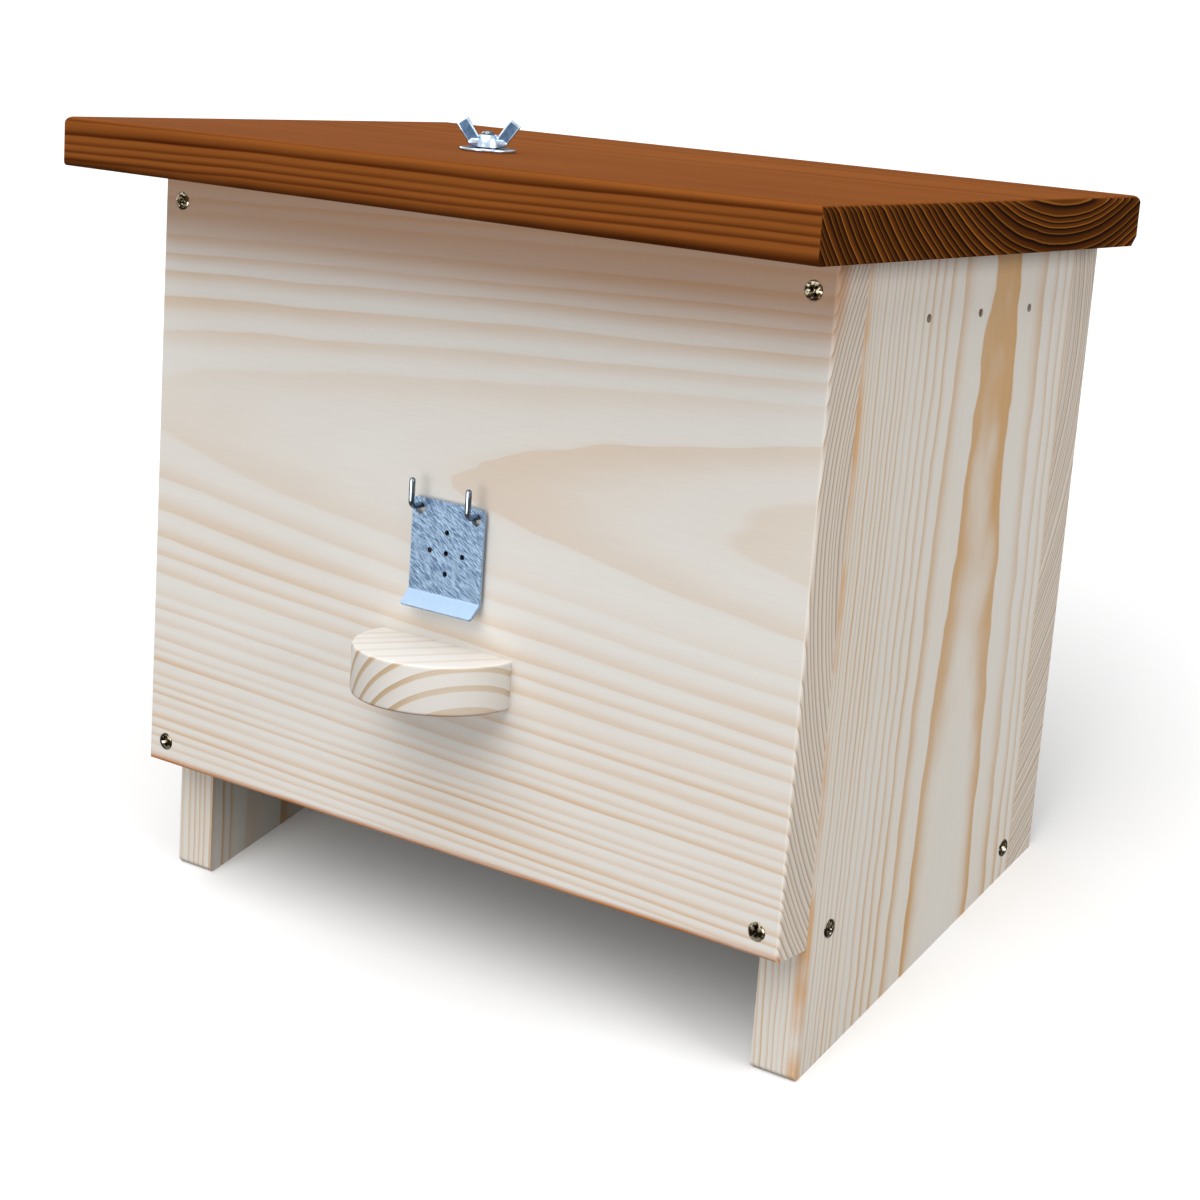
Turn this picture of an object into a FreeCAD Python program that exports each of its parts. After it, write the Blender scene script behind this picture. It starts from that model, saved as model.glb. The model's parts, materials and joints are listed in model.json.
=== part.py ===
import FreeCAD, Part

import math
import os
import re

import Sketcher

# Bumblebee nest box of 18 mm softwood boards. The box itself is square, and is drawn in its own frame:
# X to the right, Y from the front panel to the back, Z up the front panel from its lower edge.
# The side walls reach below the front panel as legs, cut on a slant, so the whole box leans back on
# the ground: rain runs off the roof to the rear and the hanging flap falls shut by its own weight.
# Every piece gets one placement, which leans the box back and sets its feet on the ground.

# Driving dimensions in millimetres and degrees
SIZES = {
    # Boards of the box
    "board_thickness": 18,
    "box_width": 300,
    "box_depth": 180,
    "panel_height": 233,
    "panel_edge_round": 1.2,
    "lean_angle": 16.62,
    "front_leg_drop": 48.7,
    "leg_edge_round": 2,
    "floor_thickness": 18,
    "floor_drop": 5,
    # Roof board
    "roof_thickness": 18,
    "roof_side_overhang": 15,
    "roof_front_overhang": 37.5,
    "roof_rear_setback": 1.5,
    "roof_top_round": 2.5,
    "roof_under_chamfer": 3.5,
    "roof_front_under_round": 1.5,
    "roof_bolt_hole": 7,
    # Rail behind the front panel, which holds the roof bolt
    "rail_thickness": 18,
    "rail_height": 36,
    "rail_end_gap": 0.5,
    "rail_screw_inset": 41.5,
    # Air holes in the side walls
    "vent_diameter": 3,
    "vent_below_top": 22,
    "vent_middle": 94.5,
    "vent_pitch": 35.5,
    # Entrance and landing board
    "entrance_diameter": 20,
    "entrance_height": 111.5,
    "landing_radius": 31,
    "landing_reach": 34.5,
    "landing_thickness": 18,
    "landing_top": 78.3,
    "landing_edge_bevel": 1,
    "landing_screw_spacing": 30,
    # Bent wire hooks that carry the flap
    "hook_spacing": 26,
    "hook_above_entrance": 15.5,
    "hook_wire": 2.2,
    "hook_reach": 7.5,
    "hook_rise": 10.5,
    "hook_bend_radius": 2.2,
    "hook_tip_bevel": 0.6,
    "hook_embed": 13,
    # Sheet-metal flap
    "flap_width": 33,
    "flap_length": 34,
    "flap_sheet": 1,
    "flap_gap": 1.5,
    "flap_top_margin": 1.8,
    "flap_corner_round": 2,
    "flap_lip_length": 6.7,
    "flap_lip_angle": 45,
    "flap_lip_corner_round": 1,
    "flap_bend_radius": 0.8,
    "flap_hook_hole": 4.5,
    "flap_vent_diameter": 2,
    "flap_vent_drop": 18.4,
    "flap_vent_pitch": 7.5,
    # Countersunk wood screws
    "screw_diameter": 3.5,
    "screw_head": 7,
    "screw_point": 5,
    "screw_length": 40,
    "rail_screw_length": 30,
    "panel_screw_low": 8.6,
    "panel_screw_top_inset": 11.3,
    "floor_screw_front": 14.2,
    "floor_screw_rear": 5,
    # Roof bolt, washer and wing nut
    "bolt_diameter": 5,
    "bolt_offset": 16,
    "bolt_embed": 30,
    "bolt_point": 6,
    "bolt_proud": 1.2,
    "bolt_end_chamfer": 0.7,
    "washer_diameter": 20,
    "washer_hole": 5.3,
    "washer_thickness": 1.2,
    "washer_edge_bevel": 0.3,
    "hub_base": 10.6,
    "hub_top": 8.6,
    "hub_height": 5.4,
    "wing_reach": 11.4,
    "wing_tip_height": 7.5,
    "wing_bar_width": 4.5,
    "wing_bar_length": 7.5,
    "wing_angle": 56,
    "wing_thickness": 2.8,
    "wing_tip_round": 0.9,
    "wing_panel_inset": 0.9,
    "wing_panel_depth": 0.35,
    "wing_web": 0.5,
    "wing_turn": 36,
    # Cardboard nest carton inside
    "carton_wall": 3,
    "carton_width": 200,
    "carton_depth": 122,
    "carton_height": 150,
    "carton_hole": 24,
    "carton_lid_skirt": 30,
    "carton_lid_clearance": 0.5,
    "carton_front_gap": 0.3,
    # Fits
    "fit_clearance": 0.05,
    "hang_clearance": 0.05,
    "pilot_spare": 1,
}

# Values worked out from the driving dimensions, as formulas
DERIVED = {
    "half_width": "box_width / 2",
    "inner_half_width": "box_width / 2 - board_thickness",
    "back_inside": "box_depth - board_thickness",
    "foot_rear": "(back_inside - board_thickness) * tan(lean_angle) - front_leg_drop",
    "back_foot_rear": "(box_depth - board_thickness) * tan(lean_angle) - front_leg_drop",
    "floor_top": "floor_thickness - floor_drop",
    "floor_middle": "floor_thickness / 2 - floor_drop",
    "roof_top": "panel_height + roof_thickness",
    "roof_half_width": "half_width + roof_side_overhang",
    "roof_back": "box_depth - roof_rear_setback",
    "rail_back": "board_thickness + rail_thickness",
    "rail_middle": "panel_height - rail_height / 2",
    "rail_screw_reach": "inner_half_width - rail_end_gap - rail_screw_inset",
    "vent_height": "panel_height - vent_below_top",
    "panel_screw_inset": "half_width - board_thickness / 2",
    "panel_screw_high": "panel_height - panel_screw_top_inset",
    "floor_screw_first": "board_thickness + floor_screw_front",
    "floor_screw_last": "back_inside - floor_screw_rear",
    "screw_hole": "screw_diameter + 2 * fit_clearance",
    "screw_sink": "screw_head + 2 * fit_clearance",
    "pilot_depth": "screw_length - board_thickness + pilot_spare",
    "rail_pilot_depth": "rail_screw_length - rail_thickness + pilot_spare",
    "landing_bottom": "landing_top - landing_thickness",
    "landing_middle": "landing_top - landing_thickness / 2",
    "landing_centre": "landing_reach - landing_radius",
    "landing_half_chord": "sqrt(landing_radius ^ 2 - landing_centre ^ 2)",
    "hook_height": "entrance_height + hook_above_entrance",
    "hook_top": "hook_height + hook_wire / 2",
    "flap_hole_top": "hook_top + hang_clearance",
    "flap_top": "flap_hole_top + flap_top_margin",
    "flap_fold": "flap_top - flap_length",
    "flap_front": "flap_gap + flap_sheet",
    "flap_vent_middle": "flap_top - flap_vent_drop",
    "lip_out": "flap_lip_length * sin(flap_lip_angle)",
    "lip_down": "flap_lip_length * cos(flap_lip_angle)",
    "lip_thick_out": "flap_sheet * cos(flap_lip_angle)",
    "lip_thick_down": "flap_sheet * sin(flap_lip_angle)",
    "fold_mitre": "flap_sheet * tan(flap_lip_angle / 2)",
    "bolt_y": "board_thickness + rail_thickness / 2",
    "nut_seat": "roof_top + washer_thickness",
    "bolt_end": "nut_seat + hub_height + bolt_proud",
    "wing_lower_x": "wing_reach - wing_bar_length * cos(wing_angle)",
    "wing_lower_z": "wing_tip_height - wing_bar_length * sin(wing_angle)",
    "wing_inner_x": "wing_reach - wing_bar_width * sin(wing_angle)",
    "wing_inner_z": "wing_tip_height + wing_bar_width * cos(wing_angle)",
    "wing_root_x": "wing_inner_x - wing_bar_length * cos(wing_angle)",
    "wing_root_z": "wing_inner_z - wing_bar_length * sin(wing_angle)",
    "carton_front": "board_thickness + carton_front_gap",
    "carton_top": "floor_top + carton_height",
    "lid_margin": "carton_wall + carton_lid_clearance",
    "tray_half_width": "carton_width / 2 - lid_margin",
    "tray_front": "carton_front + lid_margin",
    "tray_back": "carton_front + carton_depth - lid_margin",
    "tray_top": "carton_top - carton_wall",
    # The two ends of the leaned box, from the landing board's lower edge to the roof's rear top edge
    "front_end": "(landing_bottom + landing_edge_bevel) * sin(lean_angle) - landing_reach * cos(lean_angle)",
    "rear_end": "(roof_back - roof_top_round) * cos(lean_angle)"
    " + (roof_top - roof_top_round) * sin(lean_angle) + roof_top_round",
    "stand_y": "-(front_end + rear_end) / 2",
    "stand_z": "front_leg_drop * cos(lean_angle) + board_thickness * sin(lean_angle)",
}

# How far a feature may lie from where it is looked for, in millimetres
NEAR = 1e-3

STAND = "placement(vector(0; stand_y; stand_z); rotation(vector(1; 0; 0); -lean_angle))"

doc = FreeCAD.newDocument("bumblebee_nest_box")
sheet = doc.addObject("Spreadsheet::Sheet", "Sizes")
for row, (size_name, size_value) in enumerate(SIZES.items(), 1):
    sheet.set("A%d" % row, size_name)
    sheet.set("B%d" % row, str(size_value))
    sheet.setAlias("B%d" % row, size_name)
doc.recompute()

subparts = []


def formula(text):
    """A formula in plain size names, as an expression on the sheet's cells."""

    def word(match):
        name = match.group()
        if name in DERIVED:
            return "(" + formula(DERIVED[name]) + ")"
        return "Sizes." + name if name in SIZES else name

    return re.sub(r"[a-z_]+", word, text)


def value(text):
    """The number that a formula gives."""
    return float(sheet.evalExpression(formula(text)))


def bind(item, prop, text):
    item.setExpression(prop, formula(text))


# Building blocks


def new_body(label, placement=STAND):
    body = doc.addObject("PartDesign::Body", label)
    body.Label = label
    bind(body, "Placement", placement)
    subparts.append(body)
    return body


def new_sketch(body, plane, at="0", shift="0"):
    """A sketch on one of the body's planes, at a place along that plane's axis of the box frame."""
    sketch = body.newObject("Sketcher::SketchObject", body.Name + "_outline")
    for feature in body.Origin.OriginFeatures:
        if feature.Role == plane + "_Plane":
            sketch.AttachmentSupport = [(feature, "")]
    sketch.MapMode = "FlatFace"
    # The XZ plane faces the front, against Y
    bind(sketch, "AttachmentOffset.Base.z", "-(%s)" % at if plane == "XZ" else at)
    bind(sketch, "AttachmentOffset.Base.x", shift)
    return sketch


def pin_point(sketch, geometry, point, place):
    """Hold one point of the sketch at a place given by two formulas."""
    for kind, text in zip(("DistanceX", "DistanceY"), place):
        index = sketch.addConstraint(Sketcher.Constraint(kind, -1, 1, geometry, point, value(text)))
        bind(sketch, "Constraints[%d]" % index, text)


def add_outline(sketch, corners):
    """A closed outline of straight lines through corners given by formulas."""
    points = [FreeCAD.Vector(value(x), value(y), 0) for x, y in corners]
    first = sketch.GeometryCount
    count = len(points)
    for index in range(count):
        sketch.addGeometry(Part.LineSegment(points[index], points[(index + 1) % count]))
    for index in range(count):
        following = first + (index + 1) % count
        sketch.addConstraint(Sketcher.Constraint("Coincident", first + index, 2, following, 1))
    for index, corner in enumerate(corners):
        pin_point(sketch, first + index, 1, corner)


def add_rectangle(sketch, low, high):
    add_outline(sketch, [low, (high[0], low[1]), high, (low[0], high[1])])


def add_circle(sketch, centre, diameter):
    middle = FreeCAD.Vector(value(centre[0]), value(centre[1]), 0)
    circle = Part.Circle(middle, FreeCAD.Vector(0, 0, 1), value(diameter) / 2)
    geometry = sketch.addGeometry(circle)
    pin_point(sketch, geometry, 3, centre)
    index = sketch.addConstraint(Sketcher.Constraint("Diameter", geometry, value(diameter)))
    bind(sketch, "Constraints[%d]" % index, diameter)


def extrude(body, sketch, length, back=False, both_ways=False):
    pad = body.newObject("PartDesign::Pad", body.Name + "_pad")
    pad.Profile = sketch
    pad.SideType = "Symmetric" if both_ways else "One side"
    pad.Reversed = back
    bind(pad, "Length", length)
    doc.recompute()
    return pad


def cut(body, sketch, depth, back=False, both_ways=False):
    """A pocket; it has to take material away."""
    before = body.Shape.Volume
    pocket = body.newObject("PartDesign::Pocket", body.Name + "_pocket")
    pocket.Profile = sketch
    pocket.Type = "Length"
    pocket.SideType = "Symmetric" if both_ways else "One side"
    pocket.Reversed = back
    bind(pocket, "Length", depth)
    doc.recompute()
    if body.Shape.Volume >= before:
        raise RuntimeError("a pocket in %s cuts nothing" % body.Label)
    return pocket


def drill(body, plane, at, centres, diameter, depth, back=False):
    """Round holes of one size, from a plane into the piece."""
    sketch = new_sketch(body, plane, at)
    for centre in centres:
        add_circle(sketch, centre, diameter)
    return cut(body, sketch, depth, back)


def countersink(body, plane, at, centres, back=False):
    """Screw holes right through the board, with a cone for the head."""
    before = body.Shape.Volume
    sketch = new_sketch(body, plane, at)
    for centre in centres:
        add_circle(sketch, centre, "screw_hole")
    doc.recompute()
    hole = body.newObject("PartDesign::Hole", body.Name + "_screw_holes")
    hole.Profile = sketch
    hole.Reversed = back
    doc.recompute()
    hole.ThreadType = "None"
    bind(hole, "Diameter", "screw_hole")
    hole.DepthType = "ThroughAll"
    hole.HoleCutType = "Countersink"
    hole.HoleCutCustomValues = True
    bind(hole, "HoleCutDiameter", "screw_sink")
    hole.HoleCutCountersinkAngle = 90
    doc.recompute()
    if body.Shape.Volume >= before:
        raise RuntimeError("the screw holes in %s cut nothing" % body.Label)
    return hole


def along(axis, **place):
    """Picks straight edges along an axis of the box frame, at a place given by formulas."""
    wanted = {name: value(text) for name, text in place.items()}

    def matches(edge):
        if edge.Curve.TypeId != "Part::GeomLine":
            return False
        step = edge.Vertexes[-1].Point - edge.Vertexes[0].Point
        middle = edge.CenterOfMass
        straight = abs(abs(getattr(step, axis)) - step.Length) < NEAR
        return straight and all(abs(getattr(middle, name) - place) < NEAR for name, place in wanted.items())

    return matches


def pick(base, *choices):
    """The names of the edges of a feature that any of the choices picks."""
    found = []
    for index, edge in enumerate(base.Shape.Edges, 1):
        if any(choice(edge) for choice in choices):
            found.append("Edge%d" % index)
    if not found:
        raise RuntimeError("no edge of %s is where it should be" % base.Name)
    return found


def round_off(body, radius, *choices):
    base = body.Tip
    fillet = body.newObject("PartDesign::Fillet", body.Name + "_round")
    fillet.Base = (base, pick(base, *choices))
    bind(fillet, "Radius", radius)
    doc.recompute()
    return fillet


def bevel(body, size, *choices):
    base = body.Tip
    chamfer = body.newObject("PartDesign::Chamfer", body.Name + "_bevel")
    chamfer.Base = (base, pick(base, *choices))
    bind(chamfer, "Size", size)
    doc.recompute()
    return chamfer


def turn(body, sketch):
    """Revolve a half profile round the sketch's upright axis."""
    solid = body.newObject("PartDesign::Revolution", body.Name + "_turned")
    solid.Profile = sketch
    solid.ReferenceAxis = (sketch, ["V_Axis"])
    solid.Angle = 360
    doc.recompute()
    return solid


def mirrored_pair(x, *rest):
    """The same place on the right and on the left."""
    return [("-(%s)" % x,) + rest, (x,) + rest]


# Boards of the box

PANEL_SCREWS = [
    (x, z)
    for x in ("-(panel_screw_inset)", "panel_screw_inset")
    for z in ("panel_screw_low", "panel_screw_high")
]
RAIL_SCREWS = mirrored_pair("rail_screw_reach", "rail_middle")
LANDING_SCREWS = mirrored_pair("landing_screw_spacing / 2", "landing_middle")
HOOKS = mirrored_pair("hook_spacing / 2", "hook_height")
FLOOR_SCREWS = [(y, "floor_middle") for y in ("floor_screw_first", "floor_screw_last")]
VENTS = [("vent_middle + %d * vent_pitch" % step, "vent_height") for step in (-1, 0, 1)]


def make_front_panel():
    body = new_body("front_panel")
    sketch = new_sketch(body, "XZ")
    add_rectangle(sketch, ("-half_width", "0"), ("half_width", "panel_height"))
    extrude(body, sketch, "board_thickness", back=True)
    round_off(
        body,
        "panel_edge_round",
        along("x", y="0", z="0"),
        along("z", y="0", x="half_width"),
        along("z", y="0", x="-half_width"),
    )
    drill(body, "XZ", "0", [("0", "entrance_height")], "entrance_diameter", "board_thickness")
    drill(body, "XZ", "0", HOOKS, "hook_wire + 2 * fit_clearance", "hook_embed + pilot_spare")
    drill(body, "XZ", "board_thickness", RAIL_SCREWS, "screw_hole", "rail_pilot_depth", back=True)
    countersink(body, "XZ", "0", PANEL_SCREWS)
    countersink(body, "XZ", "board_thickness", LANDING_SCREWS, back=True)


def make_back_panel():
    body = new_body("back_panel")
    sketch = new_sketch(body, "YZ")
    # Its lower edge is cut on the same slant as the feet
    corners = [
        ("back_inside", "foot_rear"),
        ("box_depth", "back_foot_rear"),
        ("box_depth", "panel_height"),
        ("back_inside", "panel_height"),
    ]
    add_outline(sketch, corners)
    extrude(body, sketch, "box_width", both_ways=True)
    round_off(
        body,
        "panel_edge_round",
        along("z", y="box_depth", x="half_width"),
        along("z", y="box_depth", x="-half_width"),
    )
    countersink(body, "XZ", "box_depth", PANEL_SCREWS, back=True)


def make_side_wall(label, side):
    """One side wall with its leg; side is 1 on the right and -1 on the left."""
    body = new_body(label)
    outer = "half_width" if side > 0 else "-half_width"
    sketch = new_sketch(body, "YZ", outer)
    corners = [
        ("board_thickness", "-front_leg_drop"),
        ("back_inside", "foot_rear"),
        ("back_inside", "panel_height"),
        ("board_thickness", "panel_height"),
    ]
    add_outline(sketch, corners)
    extrude(body, sketch, "board_thickness", back=side > 0)
    round_off(body, "leg_edge_round", along("x", y="board_thickness", z="-front_leg_drop"))
    edge = "%d * panel_screw_inset" % side
    into_front = [(edge, "panel_screw_low"), (edge, "panel_screw_high")]
    drill(body, "XZ", "board_thickness", into_front, "screw_hole", "pilot_depth")
    drill(body, "XZ", "back_inside", into_front, "screw_hole", "pilot_depth", back=True)
    drill(body, "YZ", outer, VENTS, "vent_diameter", "board_thickness", back=side < 0)
    countersink(body, "YZ", outer, FLOOR_SCREWS, back=side < 0)


def make_floor_board():
    body = new_body("floor_board")
    sketch = new_sketch(body, "XY", "-floor_drop")
    add_rectangle(sketch, ("-(inner_half_width)", "board_thickness"), ("inner_half_width", "back_inside"))
    extrude(body, sketch, "floor_thickness")
    drill(body, "YZ", "inner_half_width", FLOOR_SCREWS, "screw_hole", "pilot_depth")
    drill(body, "YZ", "-(inner_half_width)", FLOOR_SCREWS, "screw_hole", "pilot_depth", back=True)


def make_roof_rail():
    body = new_body("roof_rail")
    sketch = new_sketch(body, "YZ")
    add_rectangle(sketch, ("board_thickness", "panel_height - rail_height"), ("rail_back", "panel_height"))
    extrude(body, sketch, "2 * (inner_half_width - rail_end_gap)", both_ways=True)
    bolt_place = [("-bolt_offset", "bolt_y")]
    bolt_hole = "bolt_diameter + 2 * fit_clearance"
    drill(body, "XY", "panel_height", bolt_place, bolt_hole, "bolt_embed + pilot_spare")
    countersink(body, "XZ", "rail_back", RAIL_SCREWS, back=True)


def make_roof_board():
    body = new_body("roof_board")
    sketch = new_sketch(body, "YZ")
    add_rectangle(sketch, ("-roof_front_overhang", "panel_height"), ("roof_back", "roof_top"))
    extrude(body, sketch, "2 * roof_half_width", both_ways=True)
    bevel(body, "roof_under_chamfer", along("x", y="roof_back", z="panel_height"))
    round_off(body, "roof_front_under_round", along("x", y="-roof_front_overhang", z="panel_height"))
    round_off(
        body,
        "roof_top_round",
        along("x", y="-roof_front_overhang", z="roof_top"),
        along("x", y="roof_back", z="roof_top"),
        along("y", x="roof_half_width", z="roof_top"),
        along("y", x="-roof_half_width", z="roof_top"),
    )
    drill(body, "XY", "roof_top", [("-bolt_offset", "bolt_y")], "roof_bolt_hole", "roof_thickness")


def make_landing_board():
    """A thick D-shaped board: a disc cut straight along its rear edge."""
    body = new_body("landing_board")
    sketch = new_sketch(body, "XY", "landing_bottom")
    radius = value("landing_radius")
    centre = FreeCAD.Vector(0, -value("landing_centre"), 0)
    lift = math.asin(value("landing_centre") / radius)
    disc = Part.Circle(centre, FreeCAD.Vector(0, 0, 1), radius)
    arc = sketch.addGeometry(Part.ArcOfCircle(disc, math.pi - lift, 2 * math.pi + lift))
    half_chord = value("landing_half_chord")
    ends = [FreeCAD.Vector(half_chord, 0, 0), FreeCAD.Vector(-half_chord, 0, 0)]
    chord = sketch.addGeometry(Part.LineSegment(*ends))
    sketch.addConstraint(Sketcher.Constraint("Coincident", arc, 2, chord, 1))
    sketch.addConstraint(Sketcher.Constraint("Coincident", chord, 2, arc, 1))
    sketch.addConstraint(Sketcher.Constraint("PointOnObject", chord, 1, -1))
    sketch.addConstraint(Sketcher.Constraint("PointOnObject", chord, 2, -1))
    pin_point(sketch, arc, 3, ("0", "-(landing_centre)"))
    index = sketch.addConstraint(Sketcher.Constraint("Radius", arc, radius))
    bind(sketch, "Constraints[%d]" % index, "landing_radius")
    extrude(body, sketch, "landing_thickness")
    bevel(body, "landing_edge_bevel", lambda edge: edge.Curve.TypeId == "Part::GeomCircle")
    drill(body, "XZ", "0", LANDING_SCREWS, "screw_hole", "pilot_depth", back=True)


# Hooks and flap


def make_flap_hook(label, place):
    """A straight wire shank out of the front panel, bent upwards at its end."""
    body = new_body(label)
    path = new_sketch(body, "YZ", place[0])
    bend = value("hook_bend_radius")
    level = value("hook_height")
    reach = value("hook_reach")
    inner = FreeCAD.Vector(value("hook_embed"), level, 0)
    elbow = FreeCAD.Vector(bend - reach, level, 0)
    middle = FreeCAD.Vector(bend - reach, level + bend, 0)
    upturn = FreeCAD.Vector(-reach, level + bend, 0)
    tip = FreeCAD.Vector(-reach, level + value("hook_rise"), 0)
    shank = path.addGeometry(Part.LineSegment(inner, elbow))
    circle = Part.Circle(middle, FreeCAD.Vector(0, 0, 1), bend)
    arc = path.addGeometry(Part.ArcOfCircle(circle, math.pi, 1.5 * math.pi))
    stem = path.addGeometry(Part.LineSegment(upturn, tip))
    path.addConstraint(Sketcher.Constraint("Tangent", shank, 2, arc, 2))
    path.addConstraint(Sketcher.Constraint("Tangent", arc, 1, stem, 1))
    path.addConstraint(Sketcher.Constraint("Horizontal", shank))
    pin_point(path, shank, 1, ("hook_embed", "hook_height"))
    pin_point(path, stem, 2, ("-hook_reach", "hook_height + hook_rise"))
    index = path.addConstraint(Sketcher.Constraint("Radius", arc, bend))
    bind(path, "Constraints[%d]" % index, "hook_bend_radius")
    section = new_sketch(body, "XZ", "hook_embed")
    add_circle(section, place, "hook_wire")
    doc.recompute()
    wire = body.newObject("PartDesign::AdditivePipe", label + "_wire")
    wire.Profile = section
    wire.Spine = (path, [])
    doc.recompute()
    tip_height = value("hook_height + hook_rise")
    bevel(body, "hook_tip_bevel", lambda edge: abs(edge.CenterOfMass.z - tip_height) < NEAR)


def make_entrance_flap():
    """A sheet that hangs on the two hooks, with its lower edge bent outwards as a lip."""
    body = new_body("entrance_flap")
    sketch = new_sketch(body, "YZ")
    front = "-(flap_front)"
    back = "-flap_gap"
    corners = [
        (back, "flap_top"),
        (front, "flap_top"),
        (front, "flap_fold"),
        (front + " - lip_out", "flap_fold - lip_down"),
        (front + " - lip_out + lip_thick_out", "flap_fold - lip_down - lip_thick_down"),
        (back, "flap_fold - fold_mitre"),
    ]
    add_outline(sketch, corners)
    extrude(body, sketch, "flap_width", both_ways=True)
    round_off(body, "flap_bend_radius", along("x", y=front, z="flap_fold"))
    round_off(body, "flap_bend_radius + flap_sheet", along("x", y=back, z="flap_fold - fold_mitre"))
    round_off(
        body,
        "flap_corner_round",
        along("y", z="flap_top", x="flap_width / 2"),
        along("y", z="flap_top", x="-flap_width / 2"),
    )
    lip_low = value("flap_fold - lip_down - lip_thick_down / 2")

    def lip_corner(edge):
        middle = edge.CenterOfMass
        thick = abs(edge.Length - value("flap_sheet")) < NEAR
        return thick and abs(middle.z - lip_low) < NEAR

    round_off(body, "flap_lip_corner_round", lip_corner)
    vents = [
        ("%d * flap_vent_pitch" % across, "flap_vent_middle + %d * flap_vent_pitch" % up)
        for across, up in ((0, 0), (1, 0), (-1, 0), (0, 1), (0, -1))
    ]
    hook_holes = mirrored_pair("hook_spacing / 2", "flap_hole_top - flap_hook_hole / 2")
    drill(body, "XZ", front, vents, "flap_vent_diameter", "flap_sheet")
    drill(body, "XZ", front, hook_holes, "flap_hook_hole", "flap_sheet")


# Roof bolt, washer and wing nut


def make_roof_bolt():
    """A hanger bolt: pointed end screwed down into the rail, plain thread up through the roof."""
    body = new_body("roof_bolt")
    sketch = new_sketch(body, "XZ", "bolt_y", "-bolt_offset")
    low = "panel_height - bolt_embed"
    radius = "bolt_diameter / 2"
    corners = [
        ("0", low),
        (radius, low + " + bolt_point"),
        (radius, "bolt_end - bolt_end_chamfer"),
        (radius + " - bolt_end_chamfer", "bolt_end"),
        ("0", "bolt_end"),
    ]
    add_outline(sketch, corners)
    turn(body, sketch)


def make_roof_washer():
    body = new_body("roof_washer")
    sketch = new_sketch(body, "XY", "roof_top")
    centre = ("-bolt_offset", "bolt_y")
    add_circle(sketch, centre, "washer_diameter")
    add_circle(sketch, centre, "washer_hole")
    extrude(body, sketch, "washer_thickness")
    rim = value("washer_diameter") / 2
    bevel(body, "washer_edge_bevel", lambda edge: abs(getattr(edge.Curve, "Radius", 0) - rim) < NEAR)


def make_wing_nut():
    """A pressed wing nut, drawn about its own axis with its wings along X."""
    place = "placement(vector(-bolt_offset; bolt_y; nut_seat); rotation(vector(0; 0; 1); wing_turn))"
    body = new_body("wing_nut", STAND + " * " + place)
    hub = new_sketch(body, "XZ")
    corners = [
        ("0", "0"),
        ("hub_base / 2", "0"),
        ("hub_base / 2", "wing_web"),
        ("hub_top / 2", "hub_height"),
        ("0", "hub_height"),
    ]
    add_outline(hub, corners)
    turn(body, hub)
    outline = new_sketch(body, "XZ")
    corners = [
        ("0", "wing_web"),
        ("hub_base / 2", "wing_web"),
        ("wing_lower_x", "wing_lower_z"),
        ("wing_reach", "wing_tip_height"),
        ("wing_inner_x", "wing_inner_z"),
        ("wing_root_x", "wing_root_z"),
        ("0", "wing_root_z"),
    ]
    add_outline(outline, corners)
    wing = extrude(body, outline, "wing_thickness", both_ways=True)
    # Shallow sunk panel on both faces of the wing
    inset_along = "wing_panel_inset * cos(wing_angle)"
    inset_up = "wing_panel_inset * sin(wing_angle)"
    panel = [
        ("wing_reach - %s - %s" % (inset_along, inset_up), "wing_tip_height - %s + %s" % (inset_up, inset_along)),
        ("wing_inner_x - %s + %s" % (inset_along, inset_up), "wing_inner_z - %s - %s" % (inset_up, inset_along)),
        ("wing_root_x + %s + %s" % (inset_along, inset_up), "wing_root_z + %s - %s" % (inset_up, inset_along)),
        ("wing_lower_x + %s - %s" % (inset_along, inset_up), "wing_lower_z + %s + %s" % (inset_up, inset_along)),
    ]
    sunk = []
    for face, inward in (("wing_thickness / 2", True), ("-wing_thickness / 2", False)):
        sketch = new_sketch(body, "XZ", face)
        add_outline(sketch, panel)
        sunk.append(cut(body, sketch, "wing_panel_depth", back=inward))
    mirror = body.newObject("PartDesign::Mirrored", "wing_nut_other_wing")
    mirror.Originals = [wing] + sunk
    for feature in body.Origin.OriginFeatures:
        if feature.Role == "YZ_Plane":
            mirror.MirrorPlane = (feature, [""])
    body.Tip = mirror
    doc.recompute()
    tip_corners = []
    for side in ("", "-"):
        tip_corners.append(along("y", x=side + "wing_reach", z="wing_tip_height"))
        tip_corners.append(along("y", x=side + "(wing_inner_x)", z="wing_inner_z"))
    round_off(body, "wing_tip_round", *tip_corners)
    bore = "bolt_diameter + 2 * fit_clearance"
    drill(body, "XY", "hub_height", [("0", "0")], bore, "hub_height")


# Wood screws


def make_screw(label, length):
    """A countersunk wood screw about Z: its head's face level with Z = 0, its point down."""
    body = doc.addObject("PartDesign::Body", label)
    sketch = new_sketch(body, "XZ")
    head = "screw_head / 2"
    shank = "screw_diameter / 2"
    corners = [
        ("0", "0"),
        (head, "0"),
        (shank, shank + " - " + head),
        (shank, "screw_point - " + length),
        ("0", "-" + length),
    ]
    add_outline(sketch, corners)
    turn(body, sketch)
    return body


def place_screws(label, screw, places, facing):
    """Copies of a screw as one group; facing turns a screw's head from Z to the way it looks."""
    copies = []
    for place in places:
        copy = doc.addObject("App::Link", label + "_copy")
        copy.LinkedObject = screw
        bind(copy, "Placement", "placement(vector(%s; %s; %s); %s)" % (place + (facing,)))
        copies.append(copy)
    group = doc.addObject("Part::Compound", label)
    group.Label = label
    group.Links = copies
    bind(group, "Placement", STAND)
    subparts.append(group)
    doc.recompute()


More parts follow.
